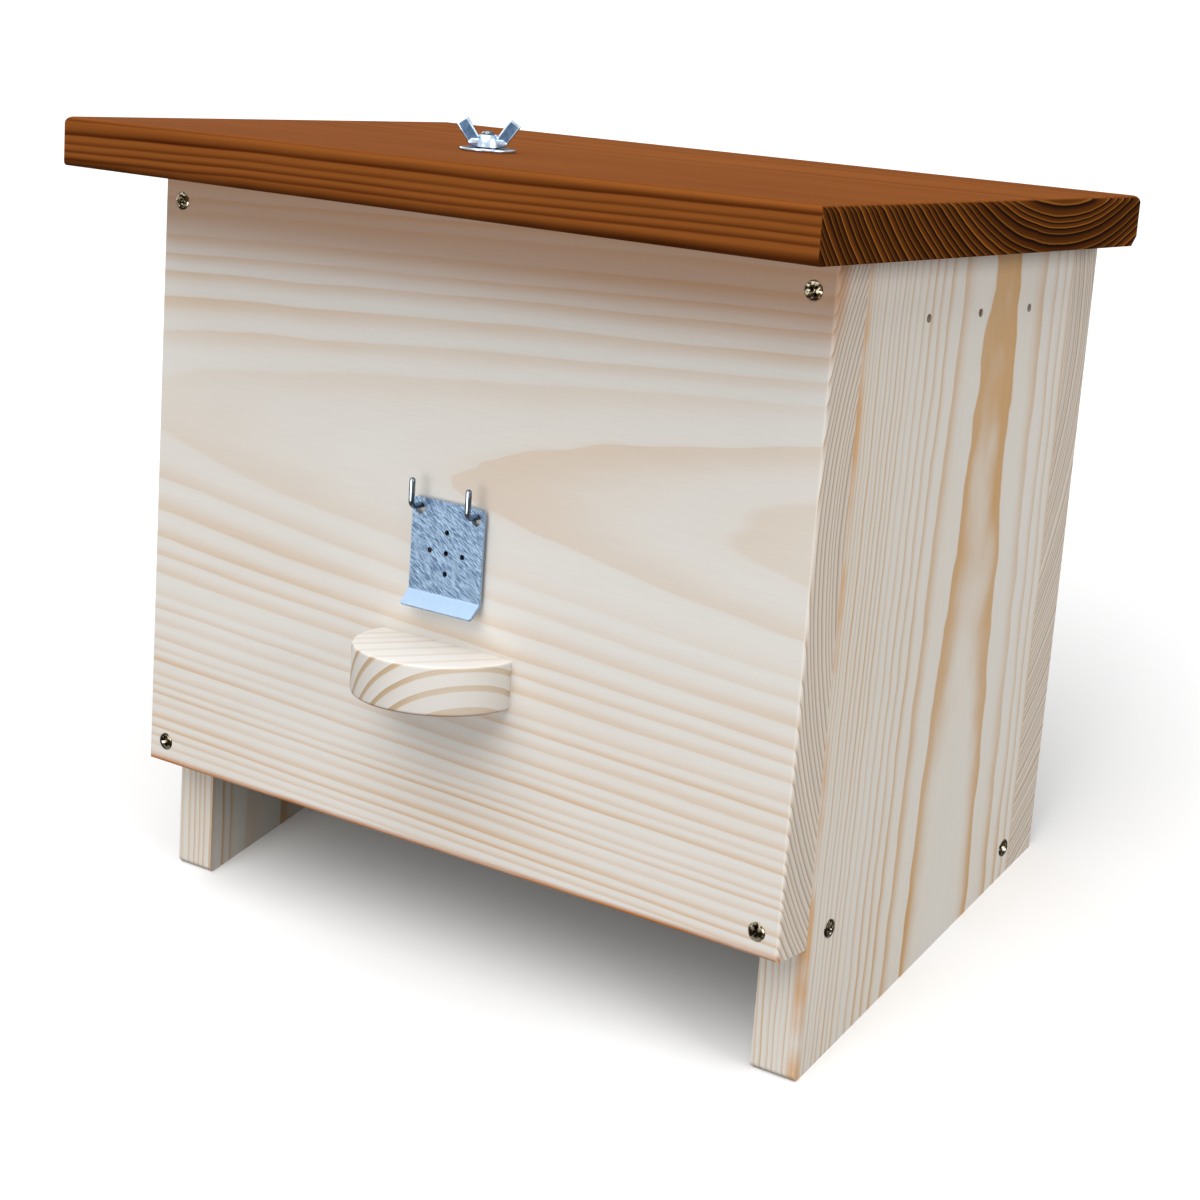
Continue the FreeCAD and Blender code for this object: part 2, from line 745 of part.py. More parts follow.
def make_screws():
    screw = make_screw("long_screw", "screw_length")
    rail_screw = make_screw("short_screw", "rail_screw_length")
    to_front = "rotation(vector(1; 0; 0); 90)"
    to_back = "rotation(vector(1; 0; 0); -90)"
    place_screws("front_panel_screws", screw, [(x, "0", z) for x, z in PANEL_SCREWS], to_front)
    place_screws("back_panel_screws", screw, [(x, "box_depth", z) for x, z in PANEL_SCREWS], to_back)
    inside = [(x, "board_thickness", z) for x, z in LANDING_SCREWS]
    place_screws("landing_board_screws", screw, inside, to_back)
    place_screws("roof_rail_screws", rail_screw, [(x, "rail_back", z) for x, z in RAIL_SCREWS], to_back)
    right = [("half_width", y, z) for y, z in FLOOR_SCREWS]
    left = [("-half_width", y, z) for y, z in FLOOR_SCREWS]
    place_screws("floor_screws_right", screw, right, "rotation(vector(0; 1; 0); 90)")
    place_screws("floor_screws_left", screw, left, "rotation(vector(0; 1; 0); -90)")


# Nest carton


def make_nest_carton():
    """A cardboard tray with a round way in that lines up with the entrance."""
    body = new_body("nest_carton")
    outer = new_sketch(body, "XY", "floor_top")
    add_rectangle(outer, ("-(tray_half_width)", "tray_front"), ("tray_half_width", "tray_back"))
    extrude(body, outer, "tray_top - floor_top")
    inner = new_sketch(body, "XY", "tray_top")
    low = ("carton_wall - tray_half_width", "tray_front + carton_wall")
    high = ("tray_half_width - carton_wall", "tray_back - carton_wall")
    add_rectangle(inner, low, high)
    cut(body, inner, "tray_top - floor_top - carton_wall")
    drill(body, "XZ", "tray_front", [("0", "entrance_height")], "carton_hole", "carton_wall")


def make_nest_carton_lid():
    body = new_body("nest_carton_lid")
    outer = new_sketch(body, "XY", "carton_top")
    low = ("-carton_width / 2", "carton_front")
    add_rectangle(outer, low, ("carton_width / 2", "carton_front + carton_depth"))
    extrude(body, outer, "carton_lid_skirt", back=True)
    inner = new_sketch(body, "XY", "carton_top - carton_wall")
    low = ("carton_wall - carton_width / 2", "carton_front + carton_wall")
    high = ("carton_width / 2 - carton_wall", "carton_front + carton_depth - carton_wall")
    add_rectangle(inner, low, high)
    cut(body, inner, "carton_lid_skirt - carton_wall")


def check_document():
    """Stop if an object failed or a sub-part has no valid solid."""
    doc.recompute()
    for item in doc.Objects:
        if "Invalid" in item.State or "Error" in item.State:
            raise RuntimeError("%s failed: %s" % (item.Label, item.State))
    for item in subparts:
        if item.Shape.isNull() or not item.Shape.isValid() or not item.Shape.Solids:
            raise RuntimeError("%s has no valid solid" % item.Label)


make_front_panel()
make_back_panel()
make_side_wall("left_side_wall", -1)
make_side_wall("right_side_wall", 1)
make_floor_board()
make_roof_rail()
make_roof_board()
make_landing_board()
make_flap_hook("left_flap_hook", HOOKS[0])
make_flap_hook("right_flap_hook", HOOKS[1])
make_entrance_flap()
make_roof_bolt()
make_roof_washer()
make_wing_nut()
make_screws()
make_nest_carton()
make_nest_carton_lid()
check_document()

os.makedirs("parts", exist_ok=True)
for part in subparts:
    part.Shape.exportStep(os.path.join("parts", part.Label + ".step"))
    box = part.Shape.BoundBox
    print("%-22s %2d solids %10.1f mm3" % (part.Label, len(part.Shape.Solids), part.Shape.Volume), box)
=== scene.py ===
"""Looks of a leaning softwood bumblebee nest box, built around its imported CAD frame.

Pieces are drawn in the box's own frame in millimetres: X to the right, Y from the front panel to the
back, Z up the front panel from its lower edge. They are then leaned back into the CAD frame, in metres.
"""

import json
import logging
import math
from dataclasses import dataclass
from enum import Enum
from typing import Any, Sequence

import bmesh
import bpy
from mathutils import Matrix, Vector


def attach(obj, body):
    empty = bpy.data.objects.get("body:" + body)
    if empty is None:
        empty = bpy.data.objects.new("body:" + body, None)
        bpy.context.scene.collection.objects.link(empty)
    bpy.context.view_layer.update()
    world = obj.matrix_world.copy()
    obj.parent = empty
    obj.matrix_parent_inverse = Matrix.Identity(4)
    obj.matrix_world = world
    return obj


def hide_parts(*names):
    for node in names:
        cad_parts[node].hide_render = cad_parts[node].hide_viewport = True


LOG = logging.getLogger("nest_box")
MM = 0.001

# Faces that meet at less than this angle shade as one surface
SMOOTH = math.radians(38)

# Short names of types that many functions take
Material = bpy.types.Material
Object = bpy.types.Object
Socket = bpy.types.NodeSocket
BMesh = bmesh.types.BMesh
Pair = tuple[float, float]
Triple = tuple[float, float, float]

# Sockets of a colour mix, by their place on the node
FACTOR, COLOUR_A, COLOUR_B, MIXED = 0, 6, 7, 2

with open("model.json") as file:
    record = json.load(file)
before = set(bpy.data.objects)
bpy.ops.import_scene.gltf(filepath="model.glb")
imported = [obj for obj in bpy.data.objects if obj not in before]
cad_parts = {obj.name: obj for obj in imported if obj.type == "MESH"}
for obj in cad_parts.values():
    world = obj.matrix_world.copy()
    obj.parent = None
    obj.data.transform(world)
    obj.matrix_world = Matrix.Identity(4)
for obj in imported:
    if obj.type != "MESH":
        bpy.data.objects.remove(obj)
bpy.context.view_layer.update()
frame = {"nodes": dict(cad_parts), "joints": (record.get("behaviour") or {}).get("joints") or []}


class Slot(Enum):
    """Material slots of the record."""

    LANDING = "landing_spruce"
    SCREWS = "zinc_screws"
    WIRE = "plated_wire"
    ZINC = "bright_zinc"
    CARD = "corrugated_board"


class Facing(Enum):
    """The way a screw's head looks, in the box frame."""

    FRONT = (0.0, -1.0, 0.0)
    BACK = (0.0, 1.0, 0.0)
    RIGHT = (1.0, 0.0, 0.0)
    LEFT = (-1.0, 0.0, 0.0)


class Ends(Enum):
    """What becomes of the two ends of a tube."""

    CAPPED = "a face each"
    OPEN = "left open"
    JOINED = "joined to each other"


def linear(code: str) -> tuple[float, float, float, float]:
    """Turn an sRGB hex colour into a linear one.

    Args:
        code: The colour as #rrggbb.

    Returns:
        Linear red, green and blue, and an alpha of 1.
    """
    parts = [int(code[place : place + 2], 16) / 255 for place in (1, 3, 5)]
    bright = [part / 12.92 if part <= 0.04045 else ((part + 0.055) / 1.055) ** 2.4 for part in parts]
    return (*bright, 1.0)


def add_node(
    tree: bpy.types.NodeTree,
    kind: str,
    inputs: dict[int | str, Any] | None = None,
    out: int | str = 0,
    stops: Sequence[tuple[float, float | str]] = (),
    **settings: Any,
) -> Socket:
    """Add a node with its settings and links.

    Args:
        tree: The node tree to add to.
        kind: Blender's name of the node's type.
        inputs: For each input, a socket to link from or a value to set.
        out: Which output to hand on.
        stops: Places of a colour ramp in order, each with a grey level or a hex colour.
        **settings: The node's own properties.

    Returns:
        The chosen output socket.
    """
    node = tree.nodes.new(kind)
    for name, value in settings.items():
        setattr(node, name, value)
    for key, value in (inputs or {}).items():
        if isinstance(value, Socket):
            tree.links.new(value, node.inputs[key])
        else:
            node.inputs[key].default_value = value
    if stops:
        elements = node.color_ramp.elements
        while len(elements) < len(stops):
            elements.new(1.0)
        for element, (place, level) in zip(elements, stops):
            element.position = place
            element.color = linear(level) if isinstance(level, str) else (level, level, level, 1.0)
    return node.outputs[out] if node.outputs else None


class BoxFrame:
    """The leaned box's own frame in millimetres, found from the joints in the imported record."""

    # Place of the washer's joint in the box frame
    BOLT_ON_ROOF = Vector((-16.0, 27.0, 251.0))

    def __init__(self, joints: list[dict[str, Any]]) -> None:
        """Work out the lean and the place of the box.

        Args:
            joints: The record's joints; the roof slides up the box and the washer turns on the bolt.
        """
        by_name = {joint["name"]: joint for joint in joints}
        up = by_name["roof_lift"]["axis"]
        self.rotation = Matrix.Rotation(-math.atan2(up[1], up[2]), 3, "X")
        origin = Vector(by_name["washer_turn"]["pos_m"]) - self.rotation @ self.BOLT_ON_ROOF * MM
        self.matrix = Matrix.Translation(origin) @ self.rotation.to_4x4() @ Matrix.Scale(MM, 4)
        self.inverse = self.matrix.inverted()

    def node_box(self, node: str) -> tuple[Vector, Vector]:
        """Find a CAD node's extent in the box frame.

        Args:
            node: The node's name.

        Returns:
            Its lowest and highest corners, in millimetres.
        """
        points = (self.inverse @ vertex.co for vertex in frame["nodes"][node].data.vertices)
        columns = list(zip(*points))
        return Vector(map(min, columns)), Vector(map(max, columns))


BOX = BoxFrame(frame["joints"])


# Finishes


class Nodes:
    """The node tree of a new material or sky, with a short way to add what the finishes share."""

    def __init__(self, owner: Any) -> None:
        """Start with an empty tree.

        Args:
            owner: The new material or sky.
        """
        owner.use_nodes = True
        self.owner = owner
        self.tree = owner.node_tree
        self.tree.nodes.clear()

    def ray(self, kind: str) -> Socket:
        """Whether the ray that asks is of a kind."""
        return add_node(self.tree, "ShaderNodeLightPath", out=kind)

    def local(self, axes: Matrix, origin: Triple | None = None) -> Socket:
        """Measure a place on the piece in millimetres.

        Args:
            axes: The axes to measure along, as columns in the CAD frame.
            origin: The point of the box frame to measure from, or none for the CAD frame's origin.

        Returns:
            The place along the three axes.
        """
        place = add_node(self.tree, "ShaderNodeTexCoord", out="Object")
        inputs = {"Vector": place, "Rotation": axes.to_euler(), "Scale": (MM, MM, MM)}
        if origin is not None:
            inputs["Location"] = BOX.matrix @ Vector(origin)
        return add_node(self.tree, "ShaderNodeMapping", inputs, vector_type="TEXTURE")

    def math(self, operation: str, *values: Any, **settings: Any) -> Socket:
        """A number worked out from others."""
        return add_node(self.tree, "ShaderNodeMath", dict(enumerate(values)), operation=operation, **settings)

    def vector(self, operation: str, *values: Any) -> Socket:
        """A vector worked out from others, or a number where the operation gives one."""
        out = "Value" if operation in ("LENGTH", "DOT_PRODUCT") else 0
        return add_node(self.tree, "ShaderNodeVectorMath", dict(enumerate(values)), out, operation=operation)

    def remap(
        self, value: Socket, limits: Pair = (0.0, 1.0), results: Pair = (0.0, 1.0), **settings: Any
    ) -> Socket:
        """Move a number from one range to another, and keep it in there.

        Args:
            value: The number.
            limits: The range that it comes from.
            results: What the ends of that range become.
            **settings: The node's own properties.

        Returns:
            The new number.
        """
        inputs = {0: value, 1: limits[0], 2: limits[1], 3: results[0], 4: results[1]}
        return add_node(self.tree, "ShaderNodeMapRange", inputs, **settings)

    def mix(self, share: Socket, *tones: Socket | str) -> Socket:
        """Blend two colours.

        Args:
            share: 0 for the first, 1 for the second.
            *tones: The two, as sockets or hex colours.

        Returns:
            The colour.
        """
        first, second = (linear(tone) if isinstance(tone, str) else tone for tone in tones)
        inputs = {FACTOR: share, COLOUR_A: first, COLOUR_B: second}
        return add_node(self.tree, "ShaderNodeMix", inputs, MIXED, data_type="RGBA")

    def ramp(self, value: Socket, stops: Sequence[tuple[float, float | str]]) -> Socket:
        """Look a number up on a ramp of grey levels or colours."""
        return add_node(self.tree, "ShaderNodeValToRGB", {0: value}, stops=stops)

    def noise(self, place: Socket, length: float, width: float, detail: float) -> Socket:
        """Noise that is drawn out along the first axis of a place.

        Args:
            place: The place in millimetres.
            length: Size of a blot along the first axis, in millimetres.
            width: Size of a blot along the others.
            detail: How many finer layers are added.

        Returns:
            The noise, from 0 to 1.
        """
        scaled = self.vector("MULTIPLY", place, (1.0 / length, 1.0 / width, 1.0 / width))
        return add_node(self.tree, "ShaderNodeTexNoise", {"Vector": scaled, "Scale": 1.0, "Detail": detail})

    def facing(self, direction: Triple, edge_on: float = 0.45, square_on: float = 0.8) -> Socket:
        """How squarely a surface faces along a direction of the box frame.

        Args:
            direction: The direction, either way along it.
            edge_on: Cosine up to which the share is 0.
            square_on: Cosine from which the share is 1.

        Returns:
            A value from 0, edge on, to 1, square on.
        """
        normal = add_node(self.tree, "ShaderNodeTexCoord", out="Normal")
        along = self.vector("DOT_PRODUCT", normal, BOX.rotation @ Vector(direction).normalized())
        return self.remap(self.math("ABSOLUTE", along), (edge_on, square_on), interpolation_type="SMOOTHSTEP")

    def bump(self, height: Socket, relief: float, strength: float) -> Socket:
        """A normal that follows a height map of so many millimetres."""
        inputs = {"Height": height, "Distance": relief * MM, "Strength": strength}
        return add_node(self.tree, "ShaderNodeBump", inputs)

    def finish(self, **shader: Any) -> Material:
        """End the tree in a surface.

        Args:
            **shader: For each input of the surface, with _ for a space, a socket or a value.

        Returns:
            The finished material.
        """
        inputs = {name.replace("_", " "): value for name, value in shader.items()}
        surface = add_node(self.tree, "ShaderNodeBsdfPrincipled", inputs)
        add_node(self.tree, "ShaderNodeOutputMaterial", {"Surface": surface})
        return self.owner


class Along(Enum):
    """Which way a streak runs in the box frame, as weights of a distance; 0 is the way that it runs."""

    WIDTH = (0.0, 1.0, 1.0)
    FRONT = (0.0, 4.0, 1.0)
    HEIGHT = (1.0, 1.0, 0.0)
    LAYER = (0.0, 0.0, 1.0)


@dataclass(frozen=True)
class Growth:
    """Where a board lay in its tree and how the tree grew, in box-frame millimetres.

    The rings are drawn all through the board, round the pith, so faces and end grain agree. A ring is
    as wide as given at the reference distance from the pith; with a slowing above 1, outer rings are
    narrower.
    """

    pith: Triple
    grain: Triple
    ring: float
    reference: float
    slowing: float = 1.0
    shift: float = 0.0
    sweep: float = 0.7
    sweep_length: float = 220.0
    sweep_width: float = 60.0
    wave: float = 0.25
    wave_length: float = 34.0
    wave_width: float = 12.0
    uneven: float = 0.8
    uneven_years: float = 2.5

    # A direction that no board's grain comes near, to turn the other two axes from
    HELPER = Vector((0.31, 0.47, 0.83))

    def axes(self) -> Matrix:
        """Work out the log's axes in the CAD frame.

        Returns:
            The axes as columns, the grain first.
        """
        along = Vector(self.grain).normalized()
        side = along.cross(self.HELPER).normalized()
        return BOX.rotation @ Matrix((along, side, along.cross(side))).transposed()

    def rings(self, nodes: Nodes, log: Socket) -> tuple[Socket, Socket, Socket]:
        """Count the rings out to a place.

        Args:
            nodes: The material's nodes.
            log: Millimetres along and across the log.

        Returns:
            The distance from the pith, the share of the ring that is passed, and a chance value of the ring.
        """
        radius = nodes.vector("LENGTH", nodes.vector("MULTIPLY", log, (0.0, 1.0, 1.0)))
        layers = (
            (self.sweep, nodes.noise(log, self.sweep_length, self.sweep_width, detail=1.0)),
            (self.wave, nodes.noise(log, self.wave_length, self.wave_width, detail=1.5)),
        )
        for size, noise in layers:
            radius = nodes.math("ADD", radius, nodes.remap(noise, results=(-2.0 * size, 2.0 * size)))
        slowed = nodes.math("POWER", nodes.math("DIVIDE", radius, self.reference), self.slowing)
        count = self.reference / (self.slowing * self.ring)
        rings = nodes.math("MULTIPLY_ADD", slowed, count, self.shift)
        years = {"W": rings, "Scale": 1.0 / self.uneven_years, "Detail": 0.0}
        spread = add_node(nodes.tree, "ShaderNodeTexNoise", years, noise_dimensions="1D")
        rings = nodes.math("ADD", rings, nodes.remap(spread, results=(-self.uneven, self.uneven)))
        index = {"W": nodes.math("FLOOR", rings)}
        chance = add_node(nodes.tree, "ShaderNodeTexWhiteNoise", index, noise_dimensions="1D")
        return radius, nodes.math("FRACT", rings), chance


@dataclass(frozen=True)
class WoodTones:
    """Colours of a wood: two pale grounds, the dark late line, and a ring's run across the end grain."""

    pale: str
    warm: str
    dark: str
    end: tuple[tuple[float, str], ...]


@dataclass(frozen=True)
class Streak:
    """A band of colour that fades away from a line or layer of the box frame: a resin streak, an edge line,
    or painted shade or light.
    """

    point: Triple
    along: Along
    radius: float
    colour: str
    strength: float
    patch: float = 60.0
    least: float = 0.0
    core: float = 0.3
    blots: Pair = (0.42, 0.58)

    def over(self, nodes: Nodes, colour: Socket) -> Socket:
        """Lay the streak over the wood's colour.

        Args:
            nodes: The material's nodes.
            colour: The colour so far.

        Returns:
            The colour with the streak.
        """
        local = nodes.local(BOX.rotation, self.point)
        distance = nodes.vector("LENGTH", nodes.vector("MULTIPLY", local, self.along.value))
        fade = (self.core * self.radius, self.radius)
        near = nodes.remap(distance, fade, (self.strength, 0.0), interpolation_type="SMOOTHSTEP")
        patches = nodes.noise(local, self.patch, self.patch, detail=2.0)
        gaps = nodes.remap(patches, self.blots, (self.least, 1.0))
        return nodes.mix(nodes.math("MULTIPLY", near, gaps), colour, self.colour)


@dataclass(frozen=True)
class Wood:
    """Planed softwood: pale early growth shading into a tan late line in each ring, then a crisp step.

    The eye sees fine fibre streaks along the grain, soft broad patches where a face just skims a ring,
    greyer close rings on the end grain, and a dull surface with a faint sheen.
    """

    name: str
    growth: Growth
    tones: WoodTones
    bold: float = 0.85
    calm_bold: float | None = None
    least_bold: float = 0.35
    skim_bold: float = 1.0
    skim_depth: float = 18.0
    end_vary: float = 0.05
    fade: float = 0.35
    fade_range: Pair = (0.3, 0.7)
    streaks: tuple[Streak, ...] = ()
    fibre: float = 0.045
    fibre_length: float = 30.0
    fibre_width: float = 0.5
    patch_length: float = 150.0
    patch_width: float = 40.0
    roughness: float = 0.6
    gloss: float = 0.25
    relief: float = 0.05
    late_relief: float = 0.6
    bump: float = 0.5
    profile: tuple[Pair, ...] = ((0.0, 0.35), (0.04, 0.0), (0.5, 0.04), (0.7, 0.35), (0.88, 0.9), (1.0, 1.0))

    def material(self) -> Material:
        """Draw the wood.

        Returns:
            The finished material.
        """
        nodes = Nodes(bpy.data.materials.new(self.name))
        log = nodes.local(self.growth.axes(), self.growth.pith)
        radius, phase, chance = self.growth.rings(nodes, log)
        late = self.late_growth(nodes, radius, phase, chance)
        fibre = nodes.noise(log, self.fibre_length, self.fibre_width, detail=2.0)
        patch = nodes.noise(log, self.patch_length, self.patch_width, detail=1.0)
        year = nodes.remap(chance, results=(1.0 - self.end_vary, 1.0 + self.end_vary))
        end = nodes.vector("MULTIPLY", nodes.ramp(phase, self.tones.end), year)
        colour = nodes.mix(nodes.facing(self.growth.grain), self.face_colour(nodes, late, patch), end)
        for streak in self.streaks:
            colour = streak.over(nodes, colour)
        shade = nodes.remap(fibre, results=(1.0 - self.fibre, 1.0 + self.fibre))
        height = nodes.math("MULTIPLY_ADD", late, self.late_relief, fibre)
        return nodes.finish(
            Base_Color=nodes.vector("MULTIPLY", colour, shade),
            Roughness=self.roughness,
            Specular_IOR_Level=self.gloss,
            Normal=nodes.bump(height, self.relief, self.bump),
        )

    def late_growth(self, nodes: Nodes, radius: Socket, phase: Socket, chance: Socket) -> Socket:
        """How much late growth shows at a place.

        Args:
            nodes: The material's nodes.
            radius: The distance from the pith.
            phase: The share of the ring that is passed.
            chance: A chance value of the ring.

        Returns:
            A value from 0, pale, to 1, dark.
        """
        year = nodes.remap(chance, results=(self.least_bold, 1.0))
        reach = self.growth.reference
        depth = nodes.remap(radius, (reach, reach + self.skim_depth), (self.skim_bold, 1.0))
        return nodes.math("MULTIPLY", nodes.ramp(phase, self.profile), nodes.math("MULTIPLY", year, depth))

    def face_colour(self, nodes: Nodes, late: Socket, patch: Socket) -> Socket:
        """Colour of the long faces of the board.

        Args:
            nodes: The material's nodes.
            late: How much late growth shows.
            patch: Slow noise between the two pale tones.

        Returns:
            The colour.
        """
        strength: Any = self.bold
        if self.calm_bold is not None:
            strength = nodes.remap(nodes.facing((0.0, 0.0, 1.0)), results=(self.bold, self.calm_bold))
        swell = nodes.remap(patch, self.fade_range, (1.0 - self.fade, 1.0 + self.fade / 2))
        line = nodes.math("MULTIPLY", nodes.math("MULTIPLY", late, strength), swell, use_clamp=True)
        return nodes.mix(line, nodes.mix(patch, self.tones.pale, self.tones.warm), self.tones.dark)


@dataclass(frozen=True)
class Zinc:
    """Zinc on steel: a metal whose two tones drift in soft patches, with fine scratches one way.

    Where a surface faces a given direction, its colour gives way to a painted highlight or painted
    reflection.
    """

    name: str
    light: str
    dark: str
    roughness: float = 0.2
    patch: float = 3.0
    scratch_width: float = 0.12
    scratch_length: float = 3.0
    scratch_share: float = 0.5
    scratch_angle: float = 0.0
    relief: float = 0.01
    bump: float = 0.4
    duller: float = 0.08
    glossier: float = 0.06
    light_range: Pair = (0.35, 0.65)
    painted_facing: Triple | None = None
    painted_tone: str = "#ffffff"
    painted_range: Pair = (0.8, 0.95)

    def material(self) -> Material:
        """Draw the metal.

        Returns:
            The finished material.
        """
        nodes = Nodes(bpy.data.materials.new(self.name))
        local = nodes.local(BOX.rotation @ Matrix.Rotation(self.scratch_angle, 3, "Y"))
        patches = nodes.noise(local, self.patch, self.patch, detail=2.0)
        scratches = nodes.noise(local, self.scratch_length, self.scratch_width, detail=3.0)
        drift = nodes.math("MULTIPLY", patches, 1.0 - self.scratch_share)
        blend = nodes.math("MULTIPLY_ADD", scratches, self.scratch_share, drift)
        spread = nodes.remap(blend, self.light_range)
        colour = nodes.mix(spread, self.dark, self.light)
        if self.painted_facing is not None:
            colour = nodes.mix(nodes.facing(self.painted_facing, *self.painted_range), colour, self.painted_tone)
        gloss = (self.roughness + self.duller, self.roughness - self.glossier)
        return nodes.finish(
            Base_Color=colour,
            Metallic=1.0,
            Roughness=nodes.remap(spread, results=gloss),
            Normal=nodes.bump(scratches, self.relief, self.bump),
        )


@dataclass(frozen=True)
class KraftBoard:
    """Corrugated kraft board: brown paper with dark and pale fibres over faint flute lines."""

    name: str = "kraft_corrugated_board"
    light: str = "#b78f63"
    dark: str = "#9b7449"
    light_range: Pair = (0.3, 0.95)
    flute: float = 7.0
    flute_share: float = 0.25
    flute_bend: float = 0.2
    fibre: float = 1.6
    roughness: float = 0.85
    relief: float = 0.1
    bump: float = 0.4

    # A wave texture of scale 1 turns through this angle in each unit of length
    WAVE_TURN = 20.0

    def material(self) -> Material:
        """Draw the board.

        Returns:
            The finished material.
        """
        nodes = Nodes(bpy.data.materials.new(self.name))
        local = nodes.local(BOX.rotation)
        fibres = nodes.noise(local, self.fibre, self.fibre, detail=4.0)
        scale = math.tau / (self.WAVE_TURN * self.flute)
        wave = {"Vector": local, "Scale": scale, "Distortion": self.flute_bend}
        flutes = add_node(nodes.tree, "ShaderNodeTexWave", wave, 1, bands_direction="X")
        mixed = nodes.math("MULTIPLY_ADD", flutes, self.flute_share, fibres)
        return nodes.finish(
            Base_Color=nodes.mix(nodes.remap(mixed, self.light_range), self.dark, self.light),
            Roughness=self.roughness,
            Normal=nodes.bump(mixed, self.relief, self.bump),
        )


# How late growth comes and goes through a ring that is cut nearly flat: broad and soft
FLAT_SAWN = ((0.0, 0.55), (0.07, 0.12), (0.3, 0.03), (0.55, 0.3), (0.78, 0.8), (0.93, 1.0))
SPRUCE_END = ((0.0, "#d7cec4"), (0.5, "#d2c7bb"), (0.8, "#bba995"), (0.95, "#a8917a"), (1.0, "#b8a28d"))
SPRUCE = WoodTones(pale="#dddbd7", warm="#dbd6ce", dark="#c7985a", end=SPRUCE_END)
WALL_SPRUCE = WoodTones(pale="#dbd8d2", warm="#d8d0c4", dark="#c19150", end=SPRUCE_END)
LANDING_END = ((0.0, "#d3d0ca"), (0.68, "#cfc9c1"), (0.75, "#bba488"), (1.0, "#b49b7d"))
LANDING_SPRUCE = WoodTones(pale="#d3d0cb", warm="#d0cac2", dark="#b79c78", end=LANDING_END)
STAINED_END = (
    (0.0, "#190b06"),
    (0.2, "#241108"),
    (0.4, "#4c260a"),
    (0.8, "#5e330e"),
    (0.9, "#8e5b21"),
    (1.0, "#6d3f14"),
)
STAINED = WoodTones(pale="#905524", warm="#884b1e", dark="#421702", end=STAINED_END)
# Stain soaks into the soft growth and leaves dark lines with one soft side
STAINED_RING = ((0.0, 0.75), (0.12, 0.15), (0.4, 0.15), (0.62, 0.5), (0.85, 1.0), (1.0, 0.95))

# For each board, its place in the tree and how boldly its rings show
BOARDS = {
    "front_panel": Wood(
        "planed_spruce_front",
        Growth(
            pith=(0.0, 200.0, 142.0),
            grain=(1.0, -0.016, -0.004),
            ring=2.2,
            reference=200.0,
            shift=0.03,
            sweep=0.3,
            wave=0.14,
            wave_length=60.0,
            uneven=0.35,
        ),
        SPRUCE,
        bold=0.75,
        least_bold=0.4,
        skim_bold=0.42,
        profile=FLAT_SAWN,
        streaks=(
            Streak((0.0, 0.4, -0.2), Along.WIDTH, 3.2, "#b5712f", 0.95, least=0.75),
            # Painted warm shade under the roof's eave
            Streak((0.0, 0.0, 234.0), Along.FRONT, 40.0, "#b98250", 0.65, least=1.0),
        ),
    ),
    "right_side_wall": Wood(
        "planed_spruce_right",
        Growth(
            pith=(50.0, 110.0, 117.0),
            grain=(-0.0095, 0.012, 1.0),
            ring=3.7,
            reference=100.0,
            slowing=4.5,
            shift=0.58,
            sweep=0.3,
            wave=0.35,
            wave_length=26.0,
            uneven=0.3,
        ),
        WALL_SPRUCE,
        streaks=(Streak((149.5, 18.5, 20.0), Along.HEIGHT, 4.2, "#cf9a5c", 0.75, patch=45.0),),
    ),
    "left_side_wall": Wood(
        "planed_spruce_left",
        Growth((-60.0, 75.0, 117.0), (0.009, -0.01, 1.0), ring=3.4, reference=90.0, slowing=3.5),
        WALL_SPRUCE,
    ),
    "back_panel": Wood(
        "planed_spruce_back",
        Growth((0.0, -10.0, 200.0), (1.0, 0.012, 0.015), ring=1.8, reference=190.0),
        SPRUCE,
    ),
    "floor_board": Wood(
        "planed_spruce_floor",
        Growth((0.0, 95.0, -70.0), (1.0, 0.02, 0.01), ring=3.0, reference=75.0),
        SPRUCE,
    ),
    "roof_rail": Wood(
        "planed_spruce_rail",
        Growth((0.0, 90.0, 190.0), (1.0, 0.02, 0.01), ring=2.2, reference=65.0),
        SPRUCE,
    ),
    "roof_board": Wood(
        "stained_spruce_roof",
        Growth(
            pith=(0.0, 119.0, 362.0),
            grain=(1.0, 0.004, 0.006),
            ring=2.7,
            reference=119.0,
            slowing=1.2,
            sweep=0.6,
            wave=0.2,
            wave_length=60.0,
            uneven=0.4,
        ),
        STAINED,
        bold=1.0,
        calm_bold=0.5,
        end_vary=0.35,
        least_bold=0.6,
        fibre=0.09,
        fibre_length=70.0,
        fibre_width=0.9,
        roughness=0.8,
        gloss=0.02,
        profile=STAINED_RING,
        # Painted shade along the roof's rounded lower front edge
        streaks=(Streak((0.0, -37.5, 232.5), Along.WIDTH, 5.0, "#351303", 0.8, least=0.8),),
    ),
}

# Near-white plating with blue shade, as on the nut's outside
BRIGHT_ZINC = Zinc("bright_zinc", "#dfedfb", "#93aeca")
# A darker copy of it for the pressed panels of the wings: painted shade, as they see less light
SHADED_SUNK_ZINC = Zinc("bright_zinc_sunk_shade", "#7f9cba", "#3f5f88", roughness=0.3, patch=2.0, scratch_length=2.0)
# A washer that is bright at its rim, with a painted dark reflection of the far side on its top
FLAT_ZINC = Zinc(
    "bright_zinc_flat",
    "#dbe6f2",
    "#8b98aa",
    painted_facing=(0.0, 0.0, 1.0),
    painted_tone="#2f3b52",
    painted_range=(0.93, 0.99),
)
# Dark round wire with a painted highlight: a narrow bright line down its front
PLATED_WIRE = Zinc(
    "plated_wire",
    "#7f8b97",
    "#2a333d",
    roughness=0.16,
    patch=4.0,
    scratch_width=0.3,
    scratch_length=6.0,
    painted_facing=(0.2, -0.97, 0.1),
    painted_tone="#ccd7e0",
    painted_range=(0.92, 0.995),
)
